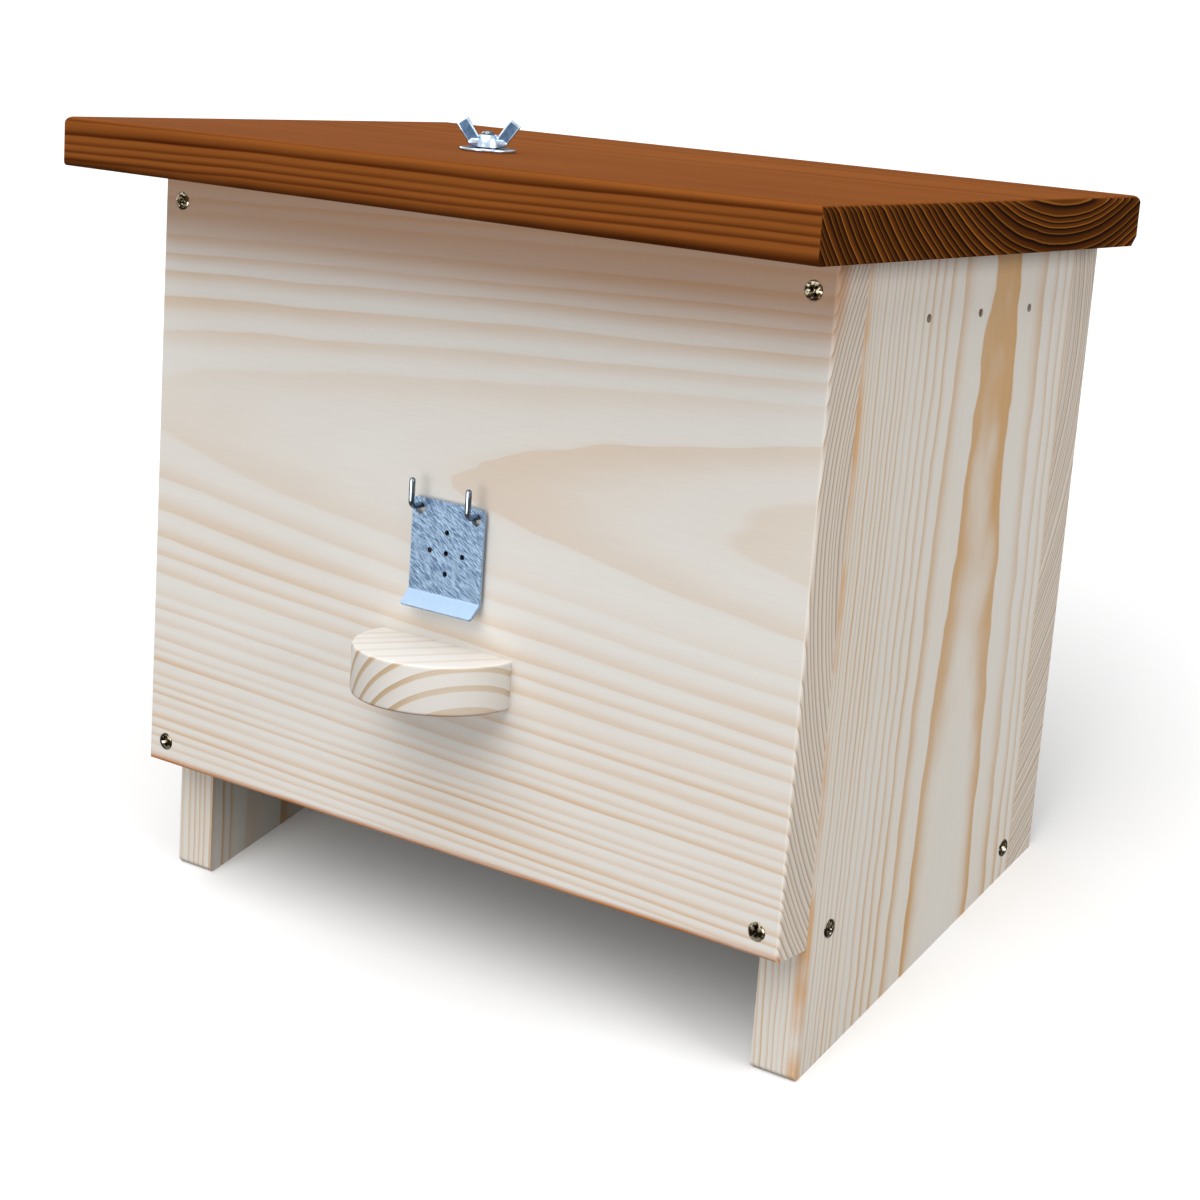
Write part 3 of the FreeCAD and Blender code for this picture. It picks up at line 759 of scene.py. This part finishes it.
# Yellow passivated screws, dark, with pale blotches as painted highlights and a painted glint on the rim
YELLOW_ZINC = Zinc(
    "yellow_zinc",
    "#f3e8c9",
    "#332617",
    roughness=0.16,
    patch=1.8,
    scratch_width=0.8,
    scratch_length=1.6,
    light_range=(0.5, 0.6),
    painted_facing=(0.5, -0.5, 0.7),
    painted_tone="#fff8e6",
    painted_range=(0.78, 0.93),
)
# Blue-grey sheet with short slanting scratches, and painted light on the bent lip
GALVANISED_SHEET = Zinc(
    "galvanised_sheet",
    "#c9e5ff",
    "#4c6990",
    roughness=0.36,
    patch=5.0,
    scratch_width=0.15,
    scratch_length=2.0,
    scratch_share=0.88,
    scratch_angle=math.radians(34),
    relief=0.03,
    light_range=(0.43, 0.57),
    painted_facing=(0.0, -1.0, 1.0),
    painted_tone="#a8c0dc",
    painted_range=(0.7, 1.08),
)


# Mesh building


def in_scene(name: str, data: Any) -> Object:
    """Make an object in the scene.

    Args:
        name: Its name.
        data: Its mesh, lamp or camera.

    Returns:
        The object.
    """
    item = bpy.data.objects.new(name, data)
    bpy.context.scene.collection.objects.link(item)
    return item


def to_object(name: str, mesh: BMesh) -> Object:
    """Turn a mesh into an object in the scene.

    Args:
        name: The object's name.
        mesh: The mesh; it is freed.

    Returns:
        The object.
    """
    data = bpy.data.meshes.new(name)
    mesh.to_mesh(data)
    mesh.free()
    return in_scene(name, data)


def finish_piece(name: str, mesh: BMesh, body: str, node: str, material: Material) -> Object:
    """Turn a mesh drawn in the box frame into a piece that rides on a body and stands for a CAD node.

    Args:
        name: The piece's name.
        mesh: The mesh, in box-frame millimetres; it is freed.
        body: The CAD body that carries the piece.
        node: The CAD node that the piece replaces.
        material: Its finish.

    Returns:
        The piece.
    """
    bmesh.ops.recalc_face_normals(mesh, faces=mesh.faces)
    mesh.transform(BOX.matrix)
    piece = to_object(name, mesh)
    piece.data.shade_smooth()
    piece.data.set_sharp_from_angle(angle=SMOOTH)
    piece.data.materials.append(material)
    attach(piece, body)
    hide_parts(node)
    LOG.info("%s: %d faces, rides on %s", name, len(piece.data.polygons), body)
    return piece


def circle(radius: float, height: float, sides: int) -> list[Vector]:
    """Points of a level circle around Z."""
    turns = (math.tau * step / sides for step in range(sides))
    return [Vector((radius * math.cos(turn), radius * math.sin(turn), height)) for turn in turns]


def turned(profile: Sequence[Pair], sides: int) -> list[list[Vector]]:
    """Circles around Z, one for each radius and height."""
    return [circle(radius, height, sides) for radius, height in profile]


def pairs_round(loop: Sequence[Any]) -> list[tuple[Any, Any]]:
    """Each item of a closed loop with the one after it."""
    return list(zip(loop, [*loop[1:], loop[0]]))


def to_middle(low: Vector, high: Vector) -> Matrix:
    """The move from the Z axis to the upright middle of an extent."""
    return Matrix.Translation(((low.x + high.x) / 2, (low.y + high.y) / 2, 0.0))


def ease(mesh: BMesh, edges: Sequence[bmesh.types.BMEdge], size: float) -> None:
    """Round edges off by a size in millimetres."""
    bmesh.ops.bevel(mesh, geom=edges, offset=size, segments=3, profile=0.5, affect="EDGES")
    bmesh.ops.recalc_face_normals(mesh, faces=mesh.faces)


def rounded_rim(bottom: float, top: float, size: float, steps: int) -> list[Pair]:
    """Insets and heights of a rim that is rounded at both edges.

    Args:
        bottom: Height of the underside.
        top: Height of the upper side.
        size: Radius of the rounding.
        steps: Steps in each rounding.

    Returns:
        Inset and height of each ring, from the underside up.
    """
    quarter = [math.pi / 2 * step / steps for step in range(steps + 1)]
    lower = [(size * (1 - math.sin(turn)), bottom + size * (1 - math.cos(turn))) for turn in quarter]
    return lower + [(inset, top + bottom - height) for inset, height in reversed(lower)]


def skin(mesh: BMesh, rings: Sequence[Sequence[Vector]], ends: Ends = Ends.CAPPED) -> list[list[Any]]:
    """Join rings of equally many points into a tube.

    Args:
        mesh: The mesh to add to.
        rings: The rings of points, in order.
        ends: What becomes of the first and the last ring.

    Returns:
        The vertices of each ring.
    """
    rows = [[mesh.verts.new(point) for point in ring] for ring in rings]
    joined = rows + rows[:1] if ends is Ends.JOINED else rows
    for lower, upper in zip(joined, joined[1:]):
        for (first, second), (above, beyond) in zip(pairs_round(lower), pairs_round(upper)):
            mesh.faces.new((first, second, beyond, above))
    if ends is Ends.CAPPED:
        mesh.faces.new(rows[0][::-1])
        mesh.faces.new(rows[-1])
    return rows


def thread_rings(ends: Pair, radii: Pair, pitch: float, sides: int, steps: int) -> list[list[Vector]]:
    """Rings of a threaded shank, whose ridge winds round Z.

    Args:
        ends: Heights of the upper and the lower end.
        radii: Radii of the ridge and of the root.
        pitch: Rise of the ridge in a turn.
        sides: Points of a ring.
        steps: Rings in a pitch.

    Returns:
        The rings from the top down.
    """
    top, bottom = ends
    outer, inner = radii
    rings = []
    count = max(2, round((top - bottom) / pitch * steps))
    for row in range(count + 1):
        height = top + (bottom - top) * row / count
        ring = []
        for side in range(sides):
            turn = math.tau * side / sides
            ridge = abs(2.0 * ((height / pitch - side / sides) % 1.0) - 1.0)
            radius = inner + (outer - inner) * ridge
            ring.append(Vector((radius * math.cos(turn), radius * math.sin(turn), height)))
        rings.append(ring)
    return rings


# Sub-assemblies


class Carcass:
    """The boards of the box and its roof, which keep their CAD shape and get their wood."""

    def dress(self) -> None:
        """Give every board its wood."""
        for node, wood in BOARDS.items():
            dress_node(node, wood.material())


def dress_node(node: str, material: Material) -> None:
    """Give a CAD node a finish.

    Args:
        node: The node's name.
        material: The finish.
    """
    data = frame["nodes"][node].data
    data.materials.clear()
    data.materials.append(material)
    LOG.info("%s: dressed in %s", node, material.name)


@dataclass
class LandingBoard:
    """The thick D-shaped board under the entrance, with eased edges."""

    edge_round: float = 1.2
    arc_steps: int = 72
    round_steps: int = 4

    def build(self) -> None:
        """Draw the board over its CAD node and dress it."""
        low, high = BOX.node_box("landing_board")
        radius = (high.x - low.x) / 2
        centre = low.y + radius
        lift = math.asin(-centre / radius)
        first, sweep = math.pi - lift, math.pi + 2 * lift
        turns = [first + sweep * step / self.arc_steps for step in range(self.arc_steps + 1)]
        mesh = bmesh.new()
        rings = []
        for inset, height in rounded_rim(low.z, high.z, self.edge_round, self.round_steps):
            size = radius - inset
            arc = [Vector((size * math.cos(t), centre + size * math.sin(t), height)) for t in turns]
            arc[0].y = arc[-1].y = high.y
            rings.append(arc)
        skin(mesh, rings)
        growth = Growth(
            pith=(55.0, -32.0, 24.0),
            grain=(0.5, 0.866, 0.0),
            ring=6.2,
            reference=60.0,
            sweep=0.8,
            wave=0.15,
            uneven=0.3,
        )
        wood = Wood(
            "sanded_spruce_landing",
            growth,
            LANDING_SPRUCE,
            least_bold=0.75,
            profile=((0.0, 1.0), (0.03, 0.0), (0.68, 0.03), (0.75, 0.9), (0.97, 1.0), (1.0, 1.0)),
            streaks=(
                # Painted shade along the underside edge
                Streak((0.0, 0.0, low.z - 0.4), Along.LAYER, 1.8, "#9a6330", 0.7, least=0.3),
                # Painted light on the top face
                Streak((0.0, 0.0, high.z), Along.LAYER, 0.8, "#f4f1ec", 0.55, least=1.0),
            ),
        )
        finish_piece("landing_board_eased", mesh, "box", "landing_board", wood.material())


@dataclass
class FlapHooks:
    """Two bent wires over the entrance that carry the flap, with domed tips."""

    material: Material
    bend_radius: float = 2.2
    bend_steps: int = 8
    sides: int = 20
    dome_steps: int = 5
    dome_share: float = 0.97

    def build(self) -> None:
        """Draw both hooks over their CAD nodes."""
        for side in ("left", "right"):
            node = side + "_flap_hook"
            mesh = bmesh.new()
            skin(mesh, self.wire_rings(*BOX.node_box(node)))
            finish_piece(node + "_wire", mesh, "box", node, self.material)

    def wire_rings(self, low: Vector, high: Vector) -> list[list[Vector]]:
        """Rings of a wire that comes out of the panel and bends up.

        Args:
            low: Lowest corner of the hook.
            high: Highest corner of the hook.

        Returns:
            The rings from the inner end to the tip.
        """
        wire = (high.x - low.x) / 2
        middle = (high.x + low.x) / 2
        level = low.z + wire
        stem = low.y + wire
        elbow = Vector((middle, stem + self.bend_radius, level + self.bend_radius))
        stations = [(Vector((middle, high.y, level)), 0.0, wire)]
        for step in range(self.bend_steps + 1):
            turn = math.pi / 2 * step / self.bend_steps
            offset = Vector((0.0, -math.sin(turn), -math.cos(turn))) * self.bend_radius
            stations.append((elbow + offset, turn, wire))
        for step in range(self.dome_steps + 1):
            rise = math.pi / 2 * step / self.dome_steps * self.dome_share
            tip = Vector((middle, stem, high.z - wire + wire * math.sin(rise)))
            stations.append((tip, math.pi / 2, wire * math.cos(rise)))
        rings = []
        for centre, turn, radius in stations:
            lean = Matrix.Rotation(math.pi / 2 - turn, 3, "X")
            rings.append([centre + lean @ point for point in circle(radius, 0.0, self.sides)])
        return rings


@dataclass
class RoofFastening:
    """The threaded bolt through the roof, its wide washer and the wing nut that holds the roof down.

    The finishes are those of the nut, of its sunk panels (a darker copy with painted shade), of the washer
    and of the bolt.
    """

    zinc: Material
    sunk: Material
    flat: Material
    thread: Material
    thread_pitch: float = 0.8
    thread_depth: float = 0.42
    thread_foot: float = 225.0
    thread_runout: float = 0.5
    thread_steps: int = 8
    bolt_point: float = 6.0
    bolt_tip: float = 0.1
    bolt_trim: float = 0.8
    bolt_chamfer: float = 0.7
    bolt_sides: int = 24
    washer_bore: float = 5.3
    washer_round: float = 0.35
    washer_round_steps: int = 3
    wing_turn: float = math.radians(36)
    wing_angle: float = math.radians(56)
    wing_tip: Triple = (11.4, 0.0, 8.0)
    wing_width: float = 4.5
    wing_length: float = 9.1
    wing_thickness: float = 2.8
    panel_inset: float = 0.95
    panel_slope: float = 0.15
    panel_depth: float = 0.6
    edge_round: float = 0.35
    belly_reach: float = 7.0
    belly_rise: float = 2.1
    belly_top: float = 3.2
    belly_thickness: float = 5.4
    belly_steps: int = 12
    belly_shares: tuple[float, ...] = (0.8, 0.4, -0.4, -0.8)
    # Radius and height of the hub's corners, from the foot of its bore round to the bore's mouth
    hub_foot: tuple[Pair, ...] = ((2.55, 0.0), (4.2, 0.0), (4.6, 0.4), (4.5, 1.1))
    hub_neck: tuple[Pair, ...] = ((4.4, 1.9), (3.9, 3.9))
    hub_mouth: tuple[Pair, ...] = ((3.3, 4.6), (2.95, 4.6), (2.55, 4.2))
    sides: int = 48

    # An edge that turns by more than this is eased
    SHARP = math.radians(60)
    # How near to a sunk panel's plane and direction a face of it lies
    PANEL_NEAR, PANEL_COSINE = 0.05, 0.99

    def build(self) -> None:
        """Draw all three pieces."""
        self.build_bolt()
        self.build_washer()
        self.build_wing_nut()

    def build_bolt(self) -> None:
        """Draw the bolt with its thread from the rail upwards."""
        low, high = BOX.node_box("roof_bolt")
        radius, sides = (high.x - low.x) / 2, self.bolt_sides
        top, foot = high.z - self.bolt_trim, self.thread_foot
        rings = turned([(radius - self.bolt_chamfer, top)], sides)
        ends, radii = (top - self.bolt_chamfer, foot), (radius, radius - self.thread_depth)
        rings += thread_rings(ends, radii, self.thread_pitch, sides, self.thread_steps)
        shank = [(radius, foot - self.thread_runout), (radius, low.z + self.bolt_point)]
        rings += turned([*shank, (self.bolt_tip, low.z)], sides)
        mesh = bmesh.new()
        skin(mesh, rings)
        mesh.transform(to_middle(low, high))
        finish_piece("roof_bolt_threaded", mesh, "box", "roof_bolt", self.thread)

    def build_washer(self) -> None:
        """Draw the washer with a rolled rim."""
        low, high = BOX.node_box("roof_washer")
        outer, inner = (high.x - low.x) / 2, self.washer_bore / 2
        rim = rounded_rim(low.z, high.z, self.washer_round, self.washer_round_steps)
        edge = [(outer - inset, height) for inset, height in reversed(rim)]
        mesh = bmesh.new()
        skin(mesh, turned([(inner, high.z), *edge, (inner, low.z)], self.sides), Ends.JOINED)
        mesh.transform(to_middle(low, high))
        finish_piece("roof_washer_rolled", mesh, "washer", "roof_washer", self.flat)

    def build_wing_nut(self) -> None:
        """Draw the wing nut: a round hub, a curved foot and two bars with sunk panels, in one shell."""
        low, high = BOX.node_box("roof_washer")
        seat = to_middle(low, high) @ Matrix.Translation((0.0, 0.0, high.z))
        mesh = self.united([self.hub(), self.belly(), self.wing(0.0), self.wing(math.pi)])
        # Faces of the sunk panels take the second finish, a darker copy with painted shade
        panel = self.wing_thickness / 2 - self.panel_depth
        for face in mesh.faces:
            middle = face.calc_center_median()
            level = abs(abs(middle.y) - panel) < self.PANEL_NEAR and abs(face.normal.y) > self.PANEL_COSINE
            face.material_index = int(level and abs(middle.x) > self.hub_neck[-1][0])
        mesh.transform(seat @ Matrix.Rotation(self.wing_turn, 4, "Z"))
        piece = finish_piece("wing_nut_pressed", mesh, "nut", "wing_nut", self.zinc)
        piece.data.materials.append(self.sunk)

    def hub(self) -> BMesh:
        """Draw the nut's round middle, bored through.

        Returns:
            The closed mesh.
        """
        mesh = bmesh.new()
        skin(mesh, turned(self.hub_foot + self.hub_neck + self.hub_mouth, self.sides), Ends.JOINED)
        bmesh.ops.recalc_face_normals(mesh, faces=mesh.faces)
        return mesh

    def belly(self) -> BMesh:
        """Draw the curved foot that runs from wing to wing under the hub.

        Returns:
            The closed mesh.
        """
        turns = [math.pi * step / self.belly_steps for step in range(self.belly_steps + 1)]
        reach, rise = self.belly_reach, self.belly_rise
        outline = [Vector((-reach * math.cos(t), 0.0, rise * (1 - math.sin(t) ** 0.5))) for t in turns]
        outline += [Vector((reach * share, 0.0, self.belly_top)) for share in self.belly_shares]
        half = Vector((0.0, self.belly_thickness / 2, 0.0))
        mesh = bmesh.new()
        front = mesh.faces.new([mesh.verts.new(point - half) for point in outline])
        pulled = bmesh.ops.extrude_face_region(mesh, geom=[front])
        moved = [item for item in pulled["geom"] if isinstance(item, bmesh.types.BMVert)]
        bmesh.ops.translate(mesh, verts=moved, vec=half * 2)
        bmesh.ops.recalc_face_normals(mesh, faces=mesh.faces)
        ease(mesh, [edge for edge in mesh.edges if edge.calc_face_angle(0.0) > self.SHARP], self.edge_round)
        return mesh

    def wing(self, turn: float) -> BMesh:
        """Draw one wing as a bar with rounded edges and a sunk panel on both faces.

        Args:
            turn: Angle round Z from the wing along X.

        Returns:
            The closed mesh.
        """
        along = Vector((math.cos(self.wing_angle), 0.0, math.sin(self.wing_angle)))
        width = Vector((-along.z, 0.0, along.x)) * self.wing_width
        tip, root = Vector(self.wing_tip), along * self.wing_length
        outline = (tip, tip + width, tip + width - root, tip - root)
        half = Vector((0.0, self.wing_thickness / 2, 0.0))
        mesh = bmesh.new()
        front, back = ([mesh.verts.new(point + side) for point in outline] for side in (-half, half))
        faces = [mesh.faces.new(front), mesh.faces.new(back[::-1])]
        for near, far in zip(pairs_round(front), pairs_round(back)):
            mesh.faces.new((near[0], *far, near[1]))
        bmesh.ops.recalc_face_normals(mesh, faces=mesh.faces)
        bmesh.ops.inset_individual(mesh, faces=faces, thickness=self.panel_inset, depth=0.0)
        depth = -self.panel_depth
        sunk = bmesh.ops.inset_individual(mesh, faces=faces, thickness=self.panel_slope, depth=depth)
        inner = {*faces, *sunk["faces"]}
        rim = [edge for edge in mesh.edges if inner.isdisjoint(edge.link_faces)]
        ease(mesh, [edge for edge in rim if edge.calc_face_angle(0.0) > self.SHARP], self.edge_round)
        mesh.transform(Matrix.Rotation(turn, 4, "Z"))
        return mesh

    def united(self, shells: Sequence[BMesh]) -> BMesh:
        """Unite closed shells into one.

        Args:
            shells: The shells, the first of which the others join; they are freed.

        Returns:
            One mesh.
        """
        first, *others = objects = [to_object("shell", shell) for shell in shells]
        for other in others:
            union = first.modifiers.new("union", "BOOLEAN")
            union.operation = "UNION"
            union.solver = "EXACT"
            union.object = other
        evaluated = first.evaluated_get(bpy.context.evaluated_depsgraph_get())
        mesh = bmesh.new()
        mesh.from_mesh(evaluated.to_mesh())
        for piece in objects:
            bpy.data.objects.remove(piece)
        return mesh


@dataclass
class WoodScrews:
    """Countersunk wood screws with a cross recess; their places and lengths come from the CAD nodes."""

    material: Material
    groups: tuple[tuple[str, Facing], ...] = (
        ("front_panel_screws", Facing.FRONT),
        ("back_panel_screws", Facing.BACK),
        ("landing_board_screws", Facing.BACK),
        ("roof_rail_screws", Facing.BACK),
        ("floor_screws_right", Facing.RIGHT),
        ("floor_screws_left", Facing.LEFT),
    )
    head: float = 3.5
    crown: float = 0.25
    rim_width: float = 0.85
    rim_drop: float = 0.45
    shank: float = 1.75
    root: float = 1.25
    pitch: float = 1.8
    point: float = 5.0
    plain: float = 6.0
    recess_span: float = 2.1
    recess_half: float = 0.55
    recess_corner: float = 0.35
    recess_depth: float = 1.5
    recess_taper: float = 0.55
    overlap: float = 0.02
    run_in: float = 0.3
    sides: int = 20
    head_sides: int = 40
    thread_steps: int = 6
    tip: float = 0.05
    first_turn: float = 20.0
    next_turn: float = 37.0

    # Points of the CAD mesh that are nearer than this, in metres, are one
    MERGE = 1e-6
    # Points this near to the highest one, in millimetres, are level with it
    LEVEL = 0.01

    def build(self) -> None:
        """Draw every group of screws over its CAD node."""
        for node, facing in self.groups:
            mesh = bmesh.new()
            for turn, (seat, length) in enumerate(self.places(node, Vector(facing.value))):
                start = len(mesh.verts)
                self.add_screw(mesh, length)
                mesh.verts.ensure_lookup_table()
                upright = Vector((0.0, 0.0, 1.0)).rotation_difference(Vector(facing.value)).to_matrix()
                spin = Matrix.Rotation(math.radians(self.first_turn + self.next_turn * turn), 4, "Z")
                move = Matrix.Translation(seat) @ upright.to_4x4() @ spin
                bmesh.ops.transform(mesh, matrix=move, verts=mesh.verts[start:])
            finish_piece(node + "_cross", mesh, "box", node, self.material)

    def places(self, node: str, facing: Vector) -> list[tuple[Vector, float]]:
        """Find the screws of a CAD node.

        Args:
            node: The node's name.
            facing: The way that the heads look.

        Returns:
            For each screw, the middle of its head's face and its length.
        """
        mesh = bmesh.new()
        mesh.from_mesh(frame["nodes"][node].data)
        bmesh.ops.remove_doubles(mesh, verts=mesh.verts, dist=self.MERGE)
        mesh.transform(BOX.inverse)
        found = []
        waiting = dict.fromkeys(mesh.verts)
        while waiting:
            stack = [waiting.popitem()[0]]
            points = []
            while stack:
                vertex = stack.pop()
                points.append(vertex.co.copy())
                near = [edge.other_vert(vertex) for edge in vertex.link_edges]
                near = [other for other in near if other in waiting]
                for other in near:
                    del waiting[other]
                stack.extend(near)
            heights = [point.dot(facing) for point in points]
            top = max(heights)
            face = [point for point, height in zip(points, heights) if height > top - self.LEVEL]
            found.append((sum(face, Vector()) / len(face), top - min(heights)))
        mesh.free()
        return sorted(found, key=lambda place: tuple(round(part, 2) for part in place[0]))

    def add_screw(self, mesh: BMesh, length: float) -> None:
        """Draw a screw around Z, its head's face at Z = 0 and its point down.

        Args:
            mesh: The mesh to add to.
            length: From the head's face to the point.
        """
        neck = self.shank - self.head
        profile = (
            (self.head - self.rim_width, self.crown),
            (self.head - self.rim_width / 3, self.crown - self.rim_drop / 3),
            (self.head - self.rim_drop / 2, -self.rim_drop),
            (self.shank, neck),
        )
        rim = skin(mesh, turned(profile, self.head_sides), Ends.OPEN)
        mesh.faces.new(rim[-1])
        mouth, floor = (Vector((0.0, 0.0, self.crown - depth)) for depth in (0.0, self.recess_depth))
        outline = self.recess_outline()
        foot = [point * self.recess_taper + floor for point in outline]
        recess = skin(mesh, [[point + mouth for point in outline], foot], Ends.OPEN)
        mesh.faces.new(recess[-1])
        edges = [mesh.edges.get(pair) for row in (rim[0], recess[0]) for pair in pairs_round(row)]
        bmesh.ops.triangle_fill(mesh, use_beauty=True, edges=edges)
        rings = turned(((self.shank, neck + self.overlap), (self.shank, neck - self.plain)), self.sides)
        ends = (neck - self.plain - self.run_in, self.point - length)
        rings += thread_rings(ends, (self.shank, self.root), self.pitch, self.sides, self.thread_steps)
        rings.append(circle(self.tip, -length, self.sides))
        skin(mesh, rings)

    def recess_outline(self) -> list[Vector]:
        """Draw the cross recess round the middle.

        Returns:
            Its closed outline.
        """
        half, span, corner = self.recess_half, self.recess_span, self.recess_corner
        arm = [(span, half), (half + corner, half), (half, half + corner), (half, span)]
        outline = []
        for quarter in range(4):
            turn = Matrix.Rotation(math.pi / 2 * quarter, 3, "Z")
            outline += [turn @ Vector((x, y, 0.0)) for x, y in arm]
        return outline


@dataclass
class NestCarton:
    """The cardboard nest carton inside: its tray keeps its CAD shape, its lid gets creased edges."""

    material: Material
    wall: float = 3.0
    crease: float = 1.4

    def build(self) -> None:
        """Dress the tray and draw the lid."""
        dress_node("nest_carton", self.material)
        low, high = BOX.node_box("nest_carton_lid")
        mesh = bmesh.new()
        outer = self.corners(low.x, low.y, high.x, high.y)
        inner = self.corners(low.x + self.wall, low.y + self.wall, high.x - self.wall, high.y - self.wall)
        levels = ((inner, high.z - self.wall), (inner, low.z), (outer, low.z), (outer, high.z))
        *_, rim, top = skin(mesh, [[Vector((x, y, height)) for x, y in loop] for loop, height in levels])
        bmesh.ops.recalc_face_normals(mesh, faces=mesh.faces)
        folds = (*pairs_round(top), *zip(rim, top))
        ease(mesh, [mesh.edges.get(ends) for ends in folds], self.crease)
        finish_piece("nest_carton_lid_creased", mesh, "box", "nest_carton_lid", self.material)

    def corners(self, left: float, front: float, right: float, back: float) -> list[Pair]:
        """The four corners of a rectangle, in order."""
        return [(left, front), (right, front), (right, back), (left, back)]


@dataclass(frozen=True)
class Lamp:
    """A broad far lamp: where it shines from, its strength and how wide it looks."""

    name: str
    comes_from: Triple
    strength: float
    spread: float


@dataclass
class Studio:
    """A plain white studio: pale floor, soft lamps, even sky and the photograph's point of view."""

    floor_half: float = 12.0
    floor_colour: str = "#fbfbfb"
    floor_bounce: str = "#7c7c7c"
    floor_roughness: float = 0.95
    sky: float = 0.17
    lamps: tuple[Lamp, ...] = (
        Lamp("high_front", (0.0, -0.25, 0.968), 2.68, math.radians(70)),
        Lamp("low_front", (-0.02, -0.99, 0.12), 1.42, math.radians(38)),
        Lamp("right_fill", (0.95, 0.05, 0.28), 1.68, math.radians(36)),
        Lamp("rear_fill", (-0.9, 0.42, 0.1), 0.7, math.radians(40)),
    )
    aim: Triple = (0.0, 88.0, 88.0)
    aim_shift: Pair = (1.822, -6.354)
    azimuth: float = math.radians(36.154)
    elevation: float = math.radians(13.179)
    roll: float = math.radians(4.089)
    distance: float = 954.776
    focal_pixels: float = 2478.233
    image_pixels: float = 1200.0
    sensor: float = 36.0

    def build(self) -> None:
        """Set up the floor, the light and the camera."""
        self.build_floor()
        self.build_light()
        self.build_camera()
        bpy.context.scene.view_settings.view_transform = "Standard"

    def build_floor(self) -> None:
        """A level white floor under the feet."""
        mesh = bmesh.new()
        bmesh.ops.create_grid(mesh, x_segments=1, y_segments=1, size=self.floor_half)
        floor = to_object("studio_floor", mesh)
        nodes = Nodes(bpy.data.materials.new("matt_white_floor"))
        tone = nodes.mix(nodes.ray("Is Camera Ray"), self.floor_bounce, self.floor_colour)
        floor.data.materials.append(
            nodes.finish(Base_Color=tone, Roughness=self.floor_roughness, Specular_IOR_Level=0.0)
        )

    def build_light(self) -> None:
        """An even sky and the soft lamps."""
        nodes = Nodes(bpy.data.worlds.new("studio_sky"))
        seen = nodes.ray("Is Camera Ray")
        for kind in ("Is Glossy Ray", "Is Transmission Ray"):
            seen = nodes.math("MAXIMUM", seen, nodes.ray(kind))
        light = {"Color": linear("#ffffff"), "Strength": nodes.remap(seen, results=(self.sky, 1.0))}
        sky = add_node(nodes.tree, "ShaderNodeBackground", light)
        add_node(nodes.tree, "ShaderNodeOutputWorld", {"Surface": sky})
        bpy.context.scene.world = nodes.owner
        for lamp in self.lamps:
            data = bpy.data.lights.new(lamp.name, "SUN")
            data.energy = lamp.strength
            data.angle = lamp.spread
            sun = in_scene(lamp.name, data)
            sun.rotation_euler = Vector(lamp.comes_from).to_track_quat("Z", "Y").to_euler()

    def build_camera(self) -> None:
        """The camera where the photograph was taken."""
        flat = math.cos(self.elevation)
        rise = math.sin(self.elevation)
        back = Vector((math.sin(self.azimuth) * flat, -math.cos(self.azimuth) * flat, rise))
        right = (-back).cross(Vector((0.0, 0.0, 1.0))).normalized()
        up = back.cross(right)
        tilt = Matrix.Rotation(self.roll, 3, back)
        right, up = tilt @ right, tilt @ up
        target = Vector(self.aim) + right * self.aim_shift[0] + up * self.aim_shift[1]
        place = target + back * self.distance
        lens = bpy.data.cameras.new("photo_camera")
        lens.sensor_width = self.sensor
        lens.lens = self.sensor * self.focal_pixels / self.image_pixels
        camera = in_scene("photo_camera", lens)
        axes = BOX.rotation @ Matrix((right, up, back)).transposed()
        camera.matrix_world = Matrix.Translation(BOX.matrix @ place) @ axes.to_4x4()
        bpy.context.scene.camera = camera


def main() -> None:
    """Build every sub-assembly in order and note the size of the result."""
    logging.basicConfig(level=logging.INFO, format="%(name)s %(message)s")
    wire = PLATED_WIRE.material()
    Carcass().dress()
    LandingBoard().build()
    FlapHooks(wire).build()
    dress_node("entrance_flap", GALVANISED_SHEET.material())
    zinc, sunk, flat = (finish.material() for finish in (BRIGHT_ZINC, SHADED_SUNK_ZINC, FLAT_ZINC))
    RoofFastening(zinc, sunk, flat, wire).build()
    WoodScrews(YELLOW_ZINC.material()).build()
    NestCarton(KraftBoard().material()).build()
    Studio().build()


if __name__ == "__main__":
    main()
